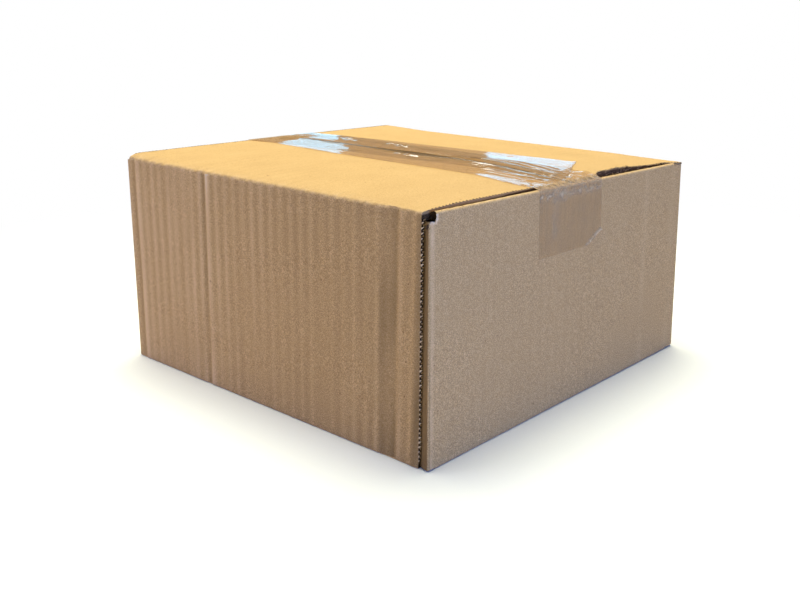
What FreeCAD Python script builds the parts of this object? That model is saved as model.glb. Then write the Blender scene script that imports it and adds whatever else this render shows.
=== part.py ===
"""A closed carton, folded from one sheet of fluted board and sealed with packing tape.

Millimetres. The origin is at the middle of the base, +Z is up. The long panels face -Y and +Y,
the end panels face -X and +X. The sheet is glued to itself at the corner between -Y and +X.
"""
import FreeCAD, Part
import math
import os

from FreeCAD import Vector

# Outside sizes of the box, measured to its creases
carton_length = 203.0
carton_width = 193.0
carton_height = 102.0

# The board: two liners with a fluted core between them
board = 3.0
liner = 0.3
flute_pitch = 6.5
flute_web = 0.5
mouth_depth = 5.0
edge_groove = 2.0

# Folds
crease_radius = 1.0
corner_radius = 2.0
crease_ridge = 1.4
inner_chamfer = 1.0
flap_root = 10.0

# Flaps: how far the closed flaps stand over the creases, and what the slots take off them
top_swell = 2.0
swell_run = 28.0
swell_radius = 40.0
stack_gap = 0.3
seam_gap = 1.0
long_flap_setback = 3.6
end_flap_setback = 8.0
joint_flap_setback = 4.5

# Corners of the walls, under the slots
top_corner_drop = 1.0
base_corner_lift = 0.5
joint_notch = 4.2

# The glued joint: a tab from the end panel lies behind the long panel's cut edge
tab_width = 34.0
tab_trim = 8.0
tab_taper = 9.0
joint_edge_top_setback = 2.6
joint_edge_base_setback = 4.2
joint_fold_depth = 0.4
joint_fold_width = 2.2
joint_fold_root = 6.0

# Tape
tape = 0.1
tape_width = 48.0
over_strip_shift = -2.4
over_strip_near_leg = 30.0
over_strip_far_leg = 34.0
tape_slack = 0.2
under_strip_far_end = -97.0
under_strip_near_end = 83.0
under_strip_far_shift = 2.5
under_strip_near_shift = 15.0
under_strip_cut = 24.0
base_strip_short = 8.0

half_length = carton_length / 2
half_width = carton_width / 2
flap_depth = half_width - seam_gap / 2
end_flap_depth = half_width
top_plane = carton_height + top_swell
core = board - 2 * liner


def rounded_face(corners, place):
    """A flat face inside corners (u, v) or (u, v, radius), put into space by place(u, v)."""
    count = len(corners)
    flat = [Vector(c[0], c[1], 0) for c in corners]
    edges = []
    starts = []
    ends = []
    for i in range(count):
        radius = corners[i][2] if len(corners[i]) > 2 else 0
        here = flat[i]
        before = (flat[i - 1] - here).normalize()
        after = (flat[(i + 1) % count] - here).normalize()
        half_turn = before.getAngle(after) / 2
        reach = radius / math.tan(half_turn) if radius else 0
        starts.append(here + before * reach)
        ends.append(here + after * reach)
        if radius:
            middle = (before + after).normalize()
            centre = here + middle * (radius / math.sin(half_turn))
            edges.append(Part.Arc(*[place(p.x, p.y) for p in
                                    (starts[i], centre - middle * radius, ends[i])]).toShape())
        else:
            edges.append(None)
    loop = []
    for i in range(count):
        if edges[i]:
            loop.append(edges[i])
        following = starts[(i + 1) % count]
        if ends[i].distanceToPoint(following) > 1e-6:
            loop.append(Part.makeLine(place(ends[i].x, ends[i].y), place(following.x, following.y)))
    return Part.Face(Part.Wire(loop))


def flat_plan(z):
    """Puts (u, v) at x, y on the level z."""
    return lambda u, v: Vector(u, v, z)


def side_section(w):
    """Puts (u, v) at y, z in the plane x = w: the section of a flap hinged along X."""
    return lambda u, v: Vector(w, u, v)


def front_view(y):
    """Puts (u, v) at x, z in the plane y."""
    return lambda u, v: Vector(u, y, v)


def walls():
    """The four panels, from the long panel's cut edge round to the last end panel."""
    cut_x = half_length - joint_edge_top_setback
    outline = [
        (cut_x, -half_width),
        (-half_length, -half_width, corner_radius),
        (-half_length, half_width, corner_radius),
        (half_length, half_width, corner_radius),
        (half_length, joint_flap_setback - half_width),
        (half_length - board, joint_flap_setback - half_width),
        (half_length - board, half_width - board),
        (board - half_length, half_width - board),
        (board - half_length, board - half_width),
        (cut_x, board - half_width),
    ]
    top = carton_height - top_corner_drop
    sheet = rounded_face(outline, flat_plan(base_corner_lift)).extrude(Vector(0, 0, top - base_corner_lift))
    lean = rounded_face([
        (cut_x, carton_height),
        (cut_x + board, carton_height),
        (cut_x + board, 0),
        (half_length - joint_edge_base_setback, 0),
    ], front_view(-half_width - board)).extrude(Vector(0, 2 * board, 0))
    return sheet.cut(lean)


def joint_tab():
    """The end panel's fold at the glued corner, and the tab that lies behind the long panel."""
    outer = half_length
    near = -half_width
    fold = rounded_face([
        (outer, near + joint_flap_setback),
        (outer, near + joint_fold_depth, corner_radius),
        (outer - joint_fold_width, near + joint_fold_depth),
        (outer - joint_fold_width - liner, near + board),
        (outer - joint_fold_root, near + board),
        (outer - joint_fold_root, near + 2 * board),
        (outer - board, near + 2 * board),
        (outer - board, near + joint_flap_setback),
    ], flat_plan(base_corner_lift)).extrude(
        Vector(0, 0, carton_height - joint_notch - base_corner_lift))
    tab = rounded_face([
        (outer - board, tab_trim),
        (outer - board, carton_height - tab_trim),
        (outer - tab_width, carton_height - tab_trim - tab_taper),
        (outer - tab_width, tab_trim + tab_taper),
    ], front_view(near + board)).extrude(Vector(0, board, 0))
    return fold.fuse(tab)


def long_flap_section(swell):
    """A long flap and the crease that it turns on; u runs inwards, v outwards from the crease."""
    under = swell - board
    return [
        (0, -flap_root),
        (0, 0, crease_radius),
        (swell_run, swell, swell_radius if swell else 0),
        (flap_depth, swell),
        (flap_depth, under),
        (board + inner_chamfer, under),
        (board, under - inner_chamfer),
        (board, -flap_root),
    ]


def end_flap_section(swell):
    """An end flap, which dips behind its crease so that the long flaps can lie on it."""
    over = swell - board - stack_gap
    under = over - board
    return [
        (0, -flap_root),
        (0, 0, crease_radius),
        (crease_ridge, 0),
        (long_flap_setback, over),
        (end_flap_depth, over),
        (end_flap_depth, under),
        (board + inner_chamfer, under),
        (board, under - inner_chamfer),
        (board, -flap_root),
    ]


def flap(section, low, high):
    """A flap on its panel, hinged along X from low to high, with its crease at y = 0 and z = 0."""
    return rounded_face(section, side_section(low)).extrude(Vector(high - low, 0, 0))


def side_groove(swell, low, high):
    """The open gap between the liners along a long flap's two ends, where the board is cut."""
    start = swell_run if swell else board + inner_chamfer
    return [Part.makeBox(edge_groove, flap_depth - start, core, Vector(x, start, swell - board + liner))
            for x in (low, high - edge_groove)]


def flute_mouths(swell, low, high):
    """The open flutes along a long flap's free edge: prisms that point up and down in turn."""
    floor = swell - board + liner
    roof = swell - liner
    count = int((high - low - 2 * edge_groove) / flute_pitch)
    first = (low + high - count * flute_pitch) / 2
    prisms = []
    for i in range(count):
        left = first + i * flute_pitch
        middle = left + flute_pitch / 2
        right = left + flute_pitch
        rising = [(left + flute_web, floor), (right - flute_web, floor), (middle, roof - flute_web)]
        next_middle = middle + flute_pitch
        falling = [(middle + flute_web, roof), (next_middle - flute_web, roof), (right, floor + flute_web)]
        wanted = [rising, falling] if i < count - 1 else [rising]
        prisms += [rounded_face(mouth, front_view(flap_depth - mouth_depth)).extrude(
            Vector(0, mouth_depth, 0)) for mouth in wanted]
    return prisms


def long_flap(swell):
    """A long flap with its fluted free edge and its open ends."""
    reach = half_length - long_flap_setback
    body = flap(long_flap_section(swell), -reach, reach)
    openings = side_groove(swell, -reach, reach) + flute_mouths(swell, -reach, reach)
    return body.cut(Part.makeCompound(openings))


def closed(shape, side, level, base=False):
    """Puts a flap made at the origin on a side of the box: 0 front, 1 right, 2 back, 3 left."""
    put = shape.mirror(Vector(0, 0, 0), Vector(0, 0, 1)) if base else shape.copy()
    put.rotate(Vector(0, 0, 0), Vector(0, 0, 1), 90 * side)
    put.translate([Vector(0, -half_width, level), Vector(half_length, 0, level),
                   Vector(0, half_width, level), Vector(-half_length, 0, level)][side])
    return put


def flaps():
    """All eight flaps, closed. The end flaps were folded first and lie inside the long ones."""
    plain = half_width - end_flap_setback
    by_joint = half_width - joint_flap_setback
    made = []
    for level, swell, base in ((carton_height, top_swell, False), (0, 0, True)):
        long_one = long_flap(swell)
        made += [closed(long_one, side, level, base) for side in (0, 2)]
        made.append(closed(flap(end_flap_section(swell), -by_joint, plain), 1, level, base))
        made.append(closed(flap(end_flap_section(swell), -plain, plain), 3, level, base))
    return made


def joint_groove():
    """The open gap between the liners down the long panel's cut edge."""
    top = half_length - joint_edge_top_setback
    base = half_length - joint_edge_base_setback
    return rounded_face([
        (top + board, carton_height - top_corner_drop - liner),
        (top - edge_groove, carton_height - top_corner_drop - liner),
        (base - edge_groove, flap_root),
        (base + board, flap_root),
    ], front_view(liner - half_width)).extrude(Vector(0, core, 0))


def carton():
    """The whole sheet as it stands closed, with the base pressed in where its tape lies."""
    sheet = walls().fuse([joint_tab()] + flaps()).removeSplitter()
    return sheet.cut([joint_groove(), base_strip()]).removeSplitter()


def strip_path():
    """The line that the long strip follows on the box, from its far end to its near end."""
    turn = carton_height - crease_radius / 2
    lip = half_length - long_flap_setback + tape_slack
    over = top_plane + tape
    return [
        (-half_length, turn - over_strip_far_leg),
        (-half_length, turn),
        (-lip, over),
        (lip, over),
        (half_length, turn),
        (half_length, turn - over_strip_near_leg),
    ]


def thickened(path):
    """A path of (x, z) points with the same path at the tape's thickness outside it, as an outline."""
    outer = []
    for i, point in enumerate(path):
        here = Vector(point[0], point[1], 0)
        ways = []
        if i > 0:
            ways.append((here - Vector(*path[i - 1], 0)).normalize())
        if i < len(path) - 1:
            ways.append((Vector(*path[i + 1], 0) - here).normalize())
        normals = [Vector(-way.y, way.x, 0) for way in ways]
        middle = normals[0] + normals[-1]
        middle.normalize()
        outer.append(here + middle * (tape / middle.dot(normals[0])))
    return list(path) + [(p.x, p.y) for p in reversed(outer)]


def over_strip():
    """The strip that seals the top seam and turns down over both end panels."""
    near_side = over_strip_shift - tape_width / 2
    return rounded_face(thickened(strip_path()), front_view(near_side)).extrude(Vector(0, tape_width, 0))


def under_strip():
    """The first strip, laid along the seam a little askew and cut off slanting before the end."""
    half = tape_width / 2
    return rounded_face([
        (under_strip_far_end, under_strip_far_shift - half),
        (under_strip_near_end + under_strip_cut / 2, under_strip_near_shift - half),
        (under_strip_near_end - under_strip_cut / 2, under_strip_near_shift + half),
        (under_strip_far_end, under_strip_far_shift + half),
    ], flat_plan(top_plane)).extrude(Vector(0, 0, tape))


def base_strip():
    """The strip along the seam of the base, which ends short of the end panels."""
    reach = half_length - base_strip_short
    return Part.makeBox(2 * reach, tape_width, tape, Vector(-reach, -tape_width / 2, 0))


def main():
    """Writes one file for each piece."""
    os.makedirs("parts", exist_ok=True)
    pieces = {
        "carton": carton(),
        "top_tape_over": over_strip(),
        "top_tape_under": under_strip(),
        "base_tape": base_strip(),
    }
    for name, shape in pieces.items():
        shape.exportStep(os.path.join("parts", name + ".step"))
        print(name, "solids", len(shape.Solids), "valid", shape.isValid(), "volume", round(shape.Volume, 1))


main()
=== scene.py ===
"""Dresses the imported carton: one folded sheet of fluted board, its sawn cut edges and its packing tape.

Lengths are millimetres in the part's own frame, and meshes are written in metres. The front panel
faces -Y and the near end panel, with the tape's leg, faces +X. The sheet is glued at the corner
between these two.
"""
from __future__ import annotations

import logging
import math
from dataclasses import dataclass, field
from enum import Enum
from typing import Callable, Sequence

import bpy
import numpy as np
from mathutils import Matrix, Vector

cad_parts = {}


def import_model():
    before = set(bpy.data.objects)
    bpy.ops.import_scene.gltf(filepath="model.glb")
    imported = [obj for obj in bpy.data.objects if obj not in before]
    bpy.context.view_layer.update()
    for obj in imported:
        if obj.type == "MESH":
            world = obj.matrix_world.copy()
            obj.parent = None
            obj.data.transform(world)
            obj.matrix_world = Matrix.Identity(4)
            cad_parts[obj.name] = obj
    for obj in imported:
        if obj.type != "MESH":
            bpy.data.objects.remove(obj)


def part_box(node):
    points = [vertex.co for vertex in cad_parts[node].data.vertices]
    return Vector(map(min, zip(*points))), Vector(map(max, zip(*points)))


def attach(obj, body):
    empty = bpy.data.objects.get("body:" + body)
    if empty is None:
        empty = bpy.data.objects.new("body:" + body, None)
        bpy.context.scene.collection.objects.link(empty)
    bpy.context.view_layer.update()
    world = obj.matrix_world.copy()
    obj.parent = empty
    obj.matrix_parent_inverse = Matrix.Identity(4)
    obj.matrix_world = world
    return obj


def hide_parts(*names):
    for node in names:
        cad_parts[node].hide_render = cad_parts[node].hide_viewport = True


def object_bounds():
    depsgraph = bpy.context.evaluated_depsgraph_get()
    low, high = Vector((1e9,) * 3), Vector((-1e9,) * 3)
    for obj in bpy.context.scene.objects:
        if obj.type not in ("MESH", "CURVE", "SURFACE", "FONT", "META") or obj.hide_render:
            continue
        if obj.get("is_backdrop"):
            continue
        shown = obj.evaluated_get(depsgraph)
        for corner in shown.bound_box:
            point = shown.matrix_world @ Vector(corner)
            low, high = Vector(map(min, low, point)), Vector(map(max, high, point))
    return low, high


MM = 0.001
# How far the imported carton's long flaps rise over its top creases, in millimetres.
FLAPS_RISE = 2.0
log = logging.getLogger("carton")

Array = np.ndarray


def smooth(value: Array | float) -> Array | float:
    """Rises from 0 to 1 with no corner as value goes from 0 to 1."""
    held = np.clip(value, 0.0, 1.0)
    return held * held * (3.0 - 2.0 * held)


def through(value: Array | float, knots: Sequence[tuple[float, float]]) -> Array:
    """A curve with no corners through the given knots, which never swings past them.

    Args:
        value: where the curve is read.
        knots: places in rising order, each with the curve's height there.

    Returns:
        The curve's height at each value, held level past the first and last knot.
    """
    x, y = np.array(knots, float).T
    rise = np.diff(y) / np.diff(x)
    same = rise[:-1] * rise[1:] > 0
    inner = np.where(same, 2 * rise[:-1] * rise[1:] / np.where(same, rise[:-1] + rise[1:], 1.0), 0.0)
    slopes = np.concatenate([[rise[0]], inner, [rise[-1]]])
    at = np.clip(np.asarray(value, float), x[0], x[-1])
    left = np.clip(np.searchsorted(x, at, side="right") - 1, 0, len(x) - 2)
    span = x[left + 1] - x[left]
    t = (at - x[left]) / span
    return (
        (1 + 2 * t) * (1 - t) ** 2 * y[left]
        + t * (1 - t) ** 2 * span * slopes[left]
        + t * t * (3 - 2 * t) * y[left + 1]
        + t * t * (t - 1) * span * slopes[left + 1]
    )


def steps(stops: Sequence[float], spacing: float) -> Array:
    """Values that hit every stop, with about the same spacing between them.

    Args:
        stops: values that must be hit, in order.
        spacing: about how far apart the values are.

    Returns:
        The values, from the first stop to the last.
    """
    parts = []
    for start, stop in zip(stops, stops[1:]):
        count = max(1, round(abs(stop - start) / spacing))
        parts.append(np.linspace(start, stop, count, endpoint=False))
    return np.concatenate(parts + [np.array([stops[-1]], float)])


def peak(value: Array, middle: Array | float, half: float) -> Array:
    """A soft peak that is 1 at its middle and about a third at half its length away."""
    return np.exp(-((value - middle) / half) ** 2)


def bumps(x: Array, y: Array, places: Sequence[Sequence[float]]) -> Array:
    """A surface of soft bumps.

    Args:
        x: where it is read along X.
        y: the same along Y.
        places: each bump's middle along X and Y, its half length along each, and its height.

    Returns:
        The surface's height at each place.
    """
    return sum(tall * np.exp(-((x - bx) / sx) ** 2 - ((y - by) / sy) ** 2) for bx, by, sx, sy, tall in places)


@dataclass(frozen=True)
class Waviness:
    """Gentle unevenness over a surface: a seeded sum of waves of about one length.

    Attributes:
        seed: fixes the waves.
        length: the waves' typical length.
    """

    seed: int
    length: float

    def at(self, u: Array, v: Array) -> Array:
        """The unevenness at a place, mostly between -1 and 1.

        Args:
            u: the place's first coordinate.
            v: its second one.

        Returns:
            The unevenness, in the shape that u and v make together.
        """
        count = 9
        draw = np.random.default_rng(self.seed)
        turn = draw.uniform(0, math.tau, count)
        phase = draw.uniform(0, math.tau, count)
        rate = math.tau / self.length * draw.uniform(0.6, 1.5, count)
        total = np.zeros(np.broadcast(u, v).shape)
        for i in range(count):
            total = total + np.sin(rate[i] * (u * math.cos(turn[i]) + v * math.sin(turn[i])) + phase[i])
        return total / math.sqrt(count)


class Nodes:
    """A small hand for writing node trees."""

    def __init__(self, tree: bpy.types.NodeTree) -> None:
        """Keeps the tree that the nodes go into."""
        self.tree = tree

    def add(self, kind: str, inputs: dict | None = None, **settings: object) -> bpy.types.Node:
        """Adds a node.

        Args:
            kind: the node's type name.
            inputs: values or sockets for its inputs, by name or number.
            settings: the node's own properties.

        Returns:
            The new node.
        """
        node = self.tree.nodes.new(kind)
        for name, value in settings.items():
            setattr(node, name, value)
        for name, value in (inputs or {}).items():
            if isinstance(value, bpy.types.NodeSocket):
                self.tree.links.new(value, node.inputs[name])
            else:
                node.inputs[name].default_value = value
        return node

    def maths(self, operation: str, a: object, b: object = 0.0, clamp: bool = False) -> bpy.types.NodeSocket:
        """The result of a sum on one or two numbers or sockets."""
        return self.add("ShaderNodeMath", {0: a, 1: b}, operation=operation, use_clamp=clamp).outputs[0]

    def times(self, a: object, b: object) -> bpy.types.NodeSocket:
        """One number or socket times another."""
        return self.maths("MULTIPLY", a, b)

    def mix(self, share: object, a: object, b: object) -> bpy.types.NodeSocket:
        """Two colours mixed by share."""
        return self.add("ShaderNodeMix", {0: share, 6: a, 7: b}, data_type="RGBA").outputs[2]

    def between(self, value: object, low: float, high: float, to_low: float = 0.0,
                to_high: float = 1.0) -> bpy.types.NodeSocket:
        """Maps value from low..high to to_low..to_high, smoothly and held at both ends."""
        return self.add("ShaderNodeMapRange", {0: value, 1: low, 2: high, 3: to_low, 4: to_high},
                        interpolation_type="SMOOTHSTEP").outputs[0]

    def noise(self, vector: object, scale: float, detail: float = 2.0,
              rough: float = 0.5) -> bpy.types.NodeSocket:
        """A noise value over vector, at scale features to the metre."""
        return self.add("ShaderNodeTexNoise", {"Vector": vector, "Scale": scale, "Detail": detail,
                                               "Roughness": rough}).outputs[0]


    def place(self) -> bpy.types.NodeSocket:
        """The place on the piece, in metres."""
        return self.add("ShaderNodeTexCoord").outputs["Object"]

    def axes(self, vector: object) -> bpy.types.NodeOutputs:
        """The three parts of a vector."""
        return self.add("ShaderNodeSeparateXYZ", {0: vector}).outputs

    def facing(self, axis: int, normal: str = "Normal") -> bpy.types.NodeSocket:
        """How squarely the surface faces along an axis, either way, from 0 to 1."""
        return self.maths("ABSOLUTE", self.axes(self.add("ShaderNodeNewGeometry").outputs[normal])[axis])

    def attribute(self, name: str) -> bpy.types.NodeSocket:
        """The value of one of the mesh's attributes."""
        return self.add("ShaderNodeAttribute", attribute_name=name).outputs["Fac"]

    def surface(self, shader: bpy.types.Node) -> None:
        """Makes a shader the material's surface."""
        self.add("ShaderNodeOutputMaterial", {0: shader.outputs[0]})

    def paper(self, colour: object, grain: object, depth: float, strength: float, roughness: float,
              gloss: float) -> None:
        """Ends the tree with matt paper.

        Args:
            colour: the paper's colour.
            grain: how high its grain stands, from 0 to 1.
            depth: how high that is, in metres.
            strength: how much of it shows.
            roughness: the paper's roughness.
            gloss: its specular level.
        """
        bump = self.add("ShaderNodeBump", {"Strength": strength, "Distance": depth, "Height": grain})
        self.surface(self.add("ShaderNodeBsdfPrincipled", {
            "Base Color": colour, "Roughness": roughness, "Specular IOR Level": gloss,
            "Normal": bump.outputs[0]}))


def tint(red: float, green: float, blue: float) -> tuple[float, float, float, float]:
    """A linear colour with full alpha."""
    return (red, green, blue, 1.0)


def new_material(name: str) -> tuple[bpy.types.Material, Nodes]:
    """Makes an empty node material.

    Args:
        name: the material's name.

    Returns:
        The material and the hand that writes its tree.
    """
    material = bpy.data.materials.new(name)
    material.use_nodes = True
    material.node_tree.nodes.clear()
    return material, Nodes(material.node_tree)


@dataclass(frozen=True)
class KraftLiner:
    """The brown paper face of the board: mottled fibres, fine specks and a trace of the flutes.

    Attributes:
        colour: the paper's mean colour.
        pale: the colour of its lighter fibres.
        dark: the colour of its specks.
        rubbed: the colour where it is scuffed, and of painted highlights, where the mesh's "shading_and_wear"
            attribute is above 0.
        bare: the colour where its face is torn off, at the top of that attribute.
        flute_pitch: spacing of the flutes, in metres.
        roughness: the paper's roughness.
        mottling: how much of the lighter fibres shows.
        fibring: how much of the fine darker fibres shows.
        clouding: how much of the broad darker clouds shows.
        specking: how much of the specks shows.
    """

    colour: tuple = tint(0.590, 0.396, 0.201)
    pale: tuple = tint(0.775, 0.562, 0.332)
    dark: tuple = tint(0.160, 0.085, 0.040)
    rubbed: tuple = tint(0.820, 0.620, 0.410)
    bare: tuple = tint(0.740, 0.640, 0.540)
    flute_pitch: float = 6.5 * MM
    roughness: float = 0.88
    mottling: float = 0.85
    fibring: float = 0.80
    clouding: float = 0.14
    specking: float = 0.55

    def build(self) -> bpy.types.Material:
        """Writes the material.

        Returns:
            The finished material.
        """
        material, nodes = new_material("kraft_liner")
        place = nodes.place()
        mottle = nodes.between(nodes.noise(place, 1400, 3, 0.7), 0.38, 0.62)
        fibres = nodes.between(nodes.noise(place, 2300, 3, 0.7), 0.40, 0.62)
        clouds = nodes.between(nodes.noise(place, 38, 3), 0.3, 0.7)
        specks = nodes.between(nodes.noise(place, 520, 1, 0.4), 0.775, 0.80)
        on_walls = nodes.between(nodes.facing(2), 0.2, 0.9, 1.0, 0.42)
        # The attribute lightens the paper above 0, for rubbing, tearing and painted highlights, and darkens
        # it below 0 as painted shade.
        shading_and_wear = nodes.attribute("shading_and_wear")
        colour = self.colour
        for share, laid_over in (
                (nodes.times(mottle, nodes.times(on_walls, self.mottling)), self.pale),
                (nodes.times(fibres, nodes.times(on_walls, self.fibring)), self.darker(0.56)),
                (nodes.times(clouds, self.clouding), self.darker(0.80)),
                (self.flute_trace(nodes, place), self.darker(0.72)),
                (nodes.maths("MAXIMUM", shading_and_wear, 0.0), self.rubbed),
                (nodes.between(shading_and_wear, 0.6, 0.95), self.bare),
                # Painted shade: below 0 the attribute darkens the paper.
                (nodes.times(nodes.maths("MINIMUM", shading_and_wear, 0.0), -1.0), self.darker(0.42)),
                (nodes.times(specks, self.specking), self.dark)):
            colour = nodes.mix(share, colour, laid_over)
        grain = nodes.maths("ADD", nodes.times(mottle, 0.6), fibres)
        nodes.paper(colour, grain, 0.12 * MM, 0.35, self.roughness, 0.0)
        return material

    def darker(self, share: float) -> tuple:
        """The paper's colour at a share of its strength."""
        return tint(*(channel * share for channel in self.colour[:3]))

    def flute_trace(self, nodes: Nodes, place: bpy.types.NodeSocket) -> bpy.types.NodeSocket:
        """How much the flutes show through the liner.

        Args:
            nodes: the hand that writes the tree.
            place: the place on the piece.

        Returns:
            The share of the flutes' darker colour, along Y on the end panels and along X elsewhere.
        """
        axes = nodes.axes(place)
        on_end = nodes.maths("GREATER_THAN", nodes.facing(0), 0.7)
        across = nodes.add("ShaderNodeMix", {0: on_end, 2: axes[0], 3: axes[1]}).outputs[0]
        wave = nodes.maths("SINE", nodes.times(across, math.tau / self.flute_pitch))
        patchy = nodes.between(nodes.noise(place, 16, 2), 0.35, 0.65, 0.02, 0.13)
        return nodes.times(nodes.between(wave, 0.2, 1.0), patchy)


@dataclass(frozen=True)
class TornPaper:
    """The bare inside of the paper where it is cut or torn: rougher and unspecked, mostly paler, with a
    darker colour in its hollows as painted shade.

    Attributes:
        name: the material's name.
        colour: the mean colour.
        shade: the colour in its hollows.
        upper: a lighter colour painted on the top flaps' cut ends, whose flutes run along the cut, as fill
            light that the lamps leave out there.
        upper_shade: the colour in their hollows.
    """

    name: str
    colour: tuple
    shade: tuple
    upper: tuple | None = None
    upper_shade: tuple = tint(0.36, 0.24, 0.13)

    def build(self) -> bpy.types.Material:
        """Writes the material.

        Returns:
            The finished material.
        """
        material, nodes = new_material(self.name)
        place = nodes.place()
        fray = nodes.between(nodes.noise(place, 1500, 4, 0.7), 0.3, 0.7)
        colour = nodes.mix(fray, self.colour, self.shade)
        if self.upper:
            colour = self.paler_on_flaps(nodes, place, fray, colour)
        nodes.paper(colour, fray, 0.2 * MM, 0.5, 0.95, 0.1)
        return material

    def paler_on_flaps(self, nodes: Nodes, place: bpy.types.NodeSocket, fray: bpy.types.NodeSocket,
                       colour: bpy.types.NodeSocket) -> bpy.types.NodeSocket:
        """Lays the upper colour, a painted fill light, over a band of the top flaps' cut ends and the tips of
        their flutes; beneath the band the dark cut-edge colour stays as painted shade.

        Args:
            nodes: the hand that writes the tree.
            place: the place on the piece.
            fray: how hollow the torn paper is there.
            colour: the colour so far.

        Returns:
            The colour with the flaps' ends laid over it.
        """
        _, depth, height = nodes.axes(place)
        over_seam = nodes.between(depth, 0.008, 0.014, 1.0, 0.25)
        on_front = nodes.times(nodes.between(height, 0.1013, 0.1019), over_seam)
        by_back = nodes.between(depth, 0.083, 0.087)
        to_end = nodes.between(nodes.facing(0, "True Normal"), 0.4, 0.7)
        on_flap = nodes.times(nodes.maths("MAXIMUM", on_front, by_back), to_end)
        flutes = nodes.add("ShaderNodeMapping", {0: place, 3: (1.0, 0.22, 1.0)}).outputs[0]
        tips = nodes.between(nodes.noise(flutes, 1400, 2), 0.54, 0.64, 0.0, 0.5)
        colour = nodes.mix(nodes.times(tips, nodes.between(depth, 0.012, 0.02)), colour, self.upper)
        return nodes.mix(on_flap, colour, nodes.mix(fray, self.upper, self.upper_shade))


@dataclass(frozen=True)
class TapeFilm:
    """Clear tan film: glossy, a little darker than the board, and milky where air lies under it.

    Attributes:
        name: the material's name.
        through: what each of the film's two faces lets through.
        haze: the colour of the adhesive and of trapped air.
        golden: the haze colour on the faces that point up, darker and deeper than on the sides, which stands
            in for the different light on the top.
        milkiness: how milky the film is where it is well stuck.
        gloss: the share of light that it mirrors head on, which rises to all of it edge on.
        roughness: how blurred that mirror image is.
        stuck: how much of the gloss is lost where another strip is stuck on it, and over the seam, where that
            paints the seam's dark line as shade.
    """

    name: str = "packing_film"
    through: tuple = tint(0.955, 0.925, 0.880)
    haze: tuple = tint(0.74, 0.60, 0.42)
    golden: tuple = tint(0.59, 0.42, 0.26)
    milkiness: float = 0.09
    gloss: float = 0.04
    roughness: float = 0.07
    stuck: float = 0.85

    def build(self) -> bpy.types.Material:
        """Writes the material. The mesh's "milky" attribute says where air lies under the film, and where
        painted highlights lie on the top strip's near leg.

        Returns:
            The finished material.
        """
        material, nodes = new_material(self.name)
        place = nodes.place()
        cloth = nodes.add("ShaderNodeMapping", {0: place, 3: (0.15, 1.0, 0.15)}).outputs[0]
        streak = nodes.between(nodes.noise(cloth, 500, 4, 0.6), 0.35, 0.75)
        patchy = nodes.between(nodes.noise(place, 260, 3, 0.6), 0.38, 0.62, 0.3, 1.0)
        milky = nodes.maths("ADD", nodes.times(nodes.attribute("milky"), patchy),
                            nodes.maths("ADD", nodes.times(streak, 0.05), self.milkiness), True)
        clear = nodes.add("ShaderNodeBsdfTransparent", {0: self.through})
        # Painted light: the haze colour changes with which way the face points, darker and deeper on the top.
        haze = nodes.mix(nodes.between(nodes.facing(2), 0.2, 0.7), self.haze, self.golden)
        dull = nodes.add("ShaderNodeBsdfDiffuse", {0: haze, 1: 0.5})
        body = nodes.add("ShaderNodeMixShader", {0: milky, 1: clear.outputs[0], 2: dull.outputs[0]})
        bump = nodes.add("ShaderNodeBump", {
            "Strength": 0.3, "Distance": 0.10 * MM, "Height": nodes.noise(cloth, 240, 3, 0.55)})
        mirror = nodes.add("ShaderNodeBsdfAnisotropic", {
            "Color": tint(1, 1, 1), "Roughness": self.roughness, "Normal": bump.outputs[0]})
        edge_on = nodes.add("ShaderNodeLayerWeight", {0: 0.5, "Normal": bump.outputs[0]}).outputs["Facing"]
        rising = nodes.times(nodes.maths("POWER", edge_on, 5.0), 1.0 - self.gloss)
        front = nodes.maths("SUBTRACT", 1.0, nodes.add("ShaderNodeNewGeometry").outputs["Backfacing"])
        # Less gloss under another strip and, as painted shade, over the seam.
        free = nodes.maths("SUBTRACT", 1.0, nodes.times(nodes.attribute("gloss_dulled"), self.stuck))
        share = nodes.times(nodes.maths("ADD", rising, self.gloss), nodes.times(front, free))
        nodes.surface(nodes.add("ShaderNodeMixShader", {0: share, 1: body.outputs[0], 2: mirror.outputs[0]}))
        return material


class Finishes:
    """Every material that the carton and its tape use, made once."""

    def __init__(self) -> None:
        """Builds the materials."""
        self.kraft = KraftLiner().build()
        # Painted shade: the cut edges are near black for the shade in their grooves and in the corner's hole,
        # with a lighter painted fill on the top flaps' ends.
        self.shaded_cut_edge = TornPaper("shaded_cut_board_edge", tint(0.13, 0.080, 0.048), tint(0.035, 0.022, 0.014),
                                  tint(0.46, 0.31, 0.18)).build()
        self.teeth = TornPaper("sawn_liner_teeth", tint(0.64, 0.45, 0.25), tint(0.48, 0.33, 0.18)).build()
        # Partly painted highlight: pale torn fibres on the glued corner's cut, made paler still for the light
        # that they catch from above.
        self.highlit_frayed = TornPaper("highlit_frayed_liner_teeth", tint(0.76, 0.64, 0.48), tint(0.60, 0.48, 0.34)).build()
        # Painted shadow: thin near-black teeth that stand for the shade in the gaps between the flaps' liner
        # teeth.
        self.notch = TornPaper("painted_shadow_notches", tint(0.034, 0.022, 0.015),
                               tint(0.02, 0.014, 0.010)).build()
        self.film = TapeFilm().build()


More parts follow.
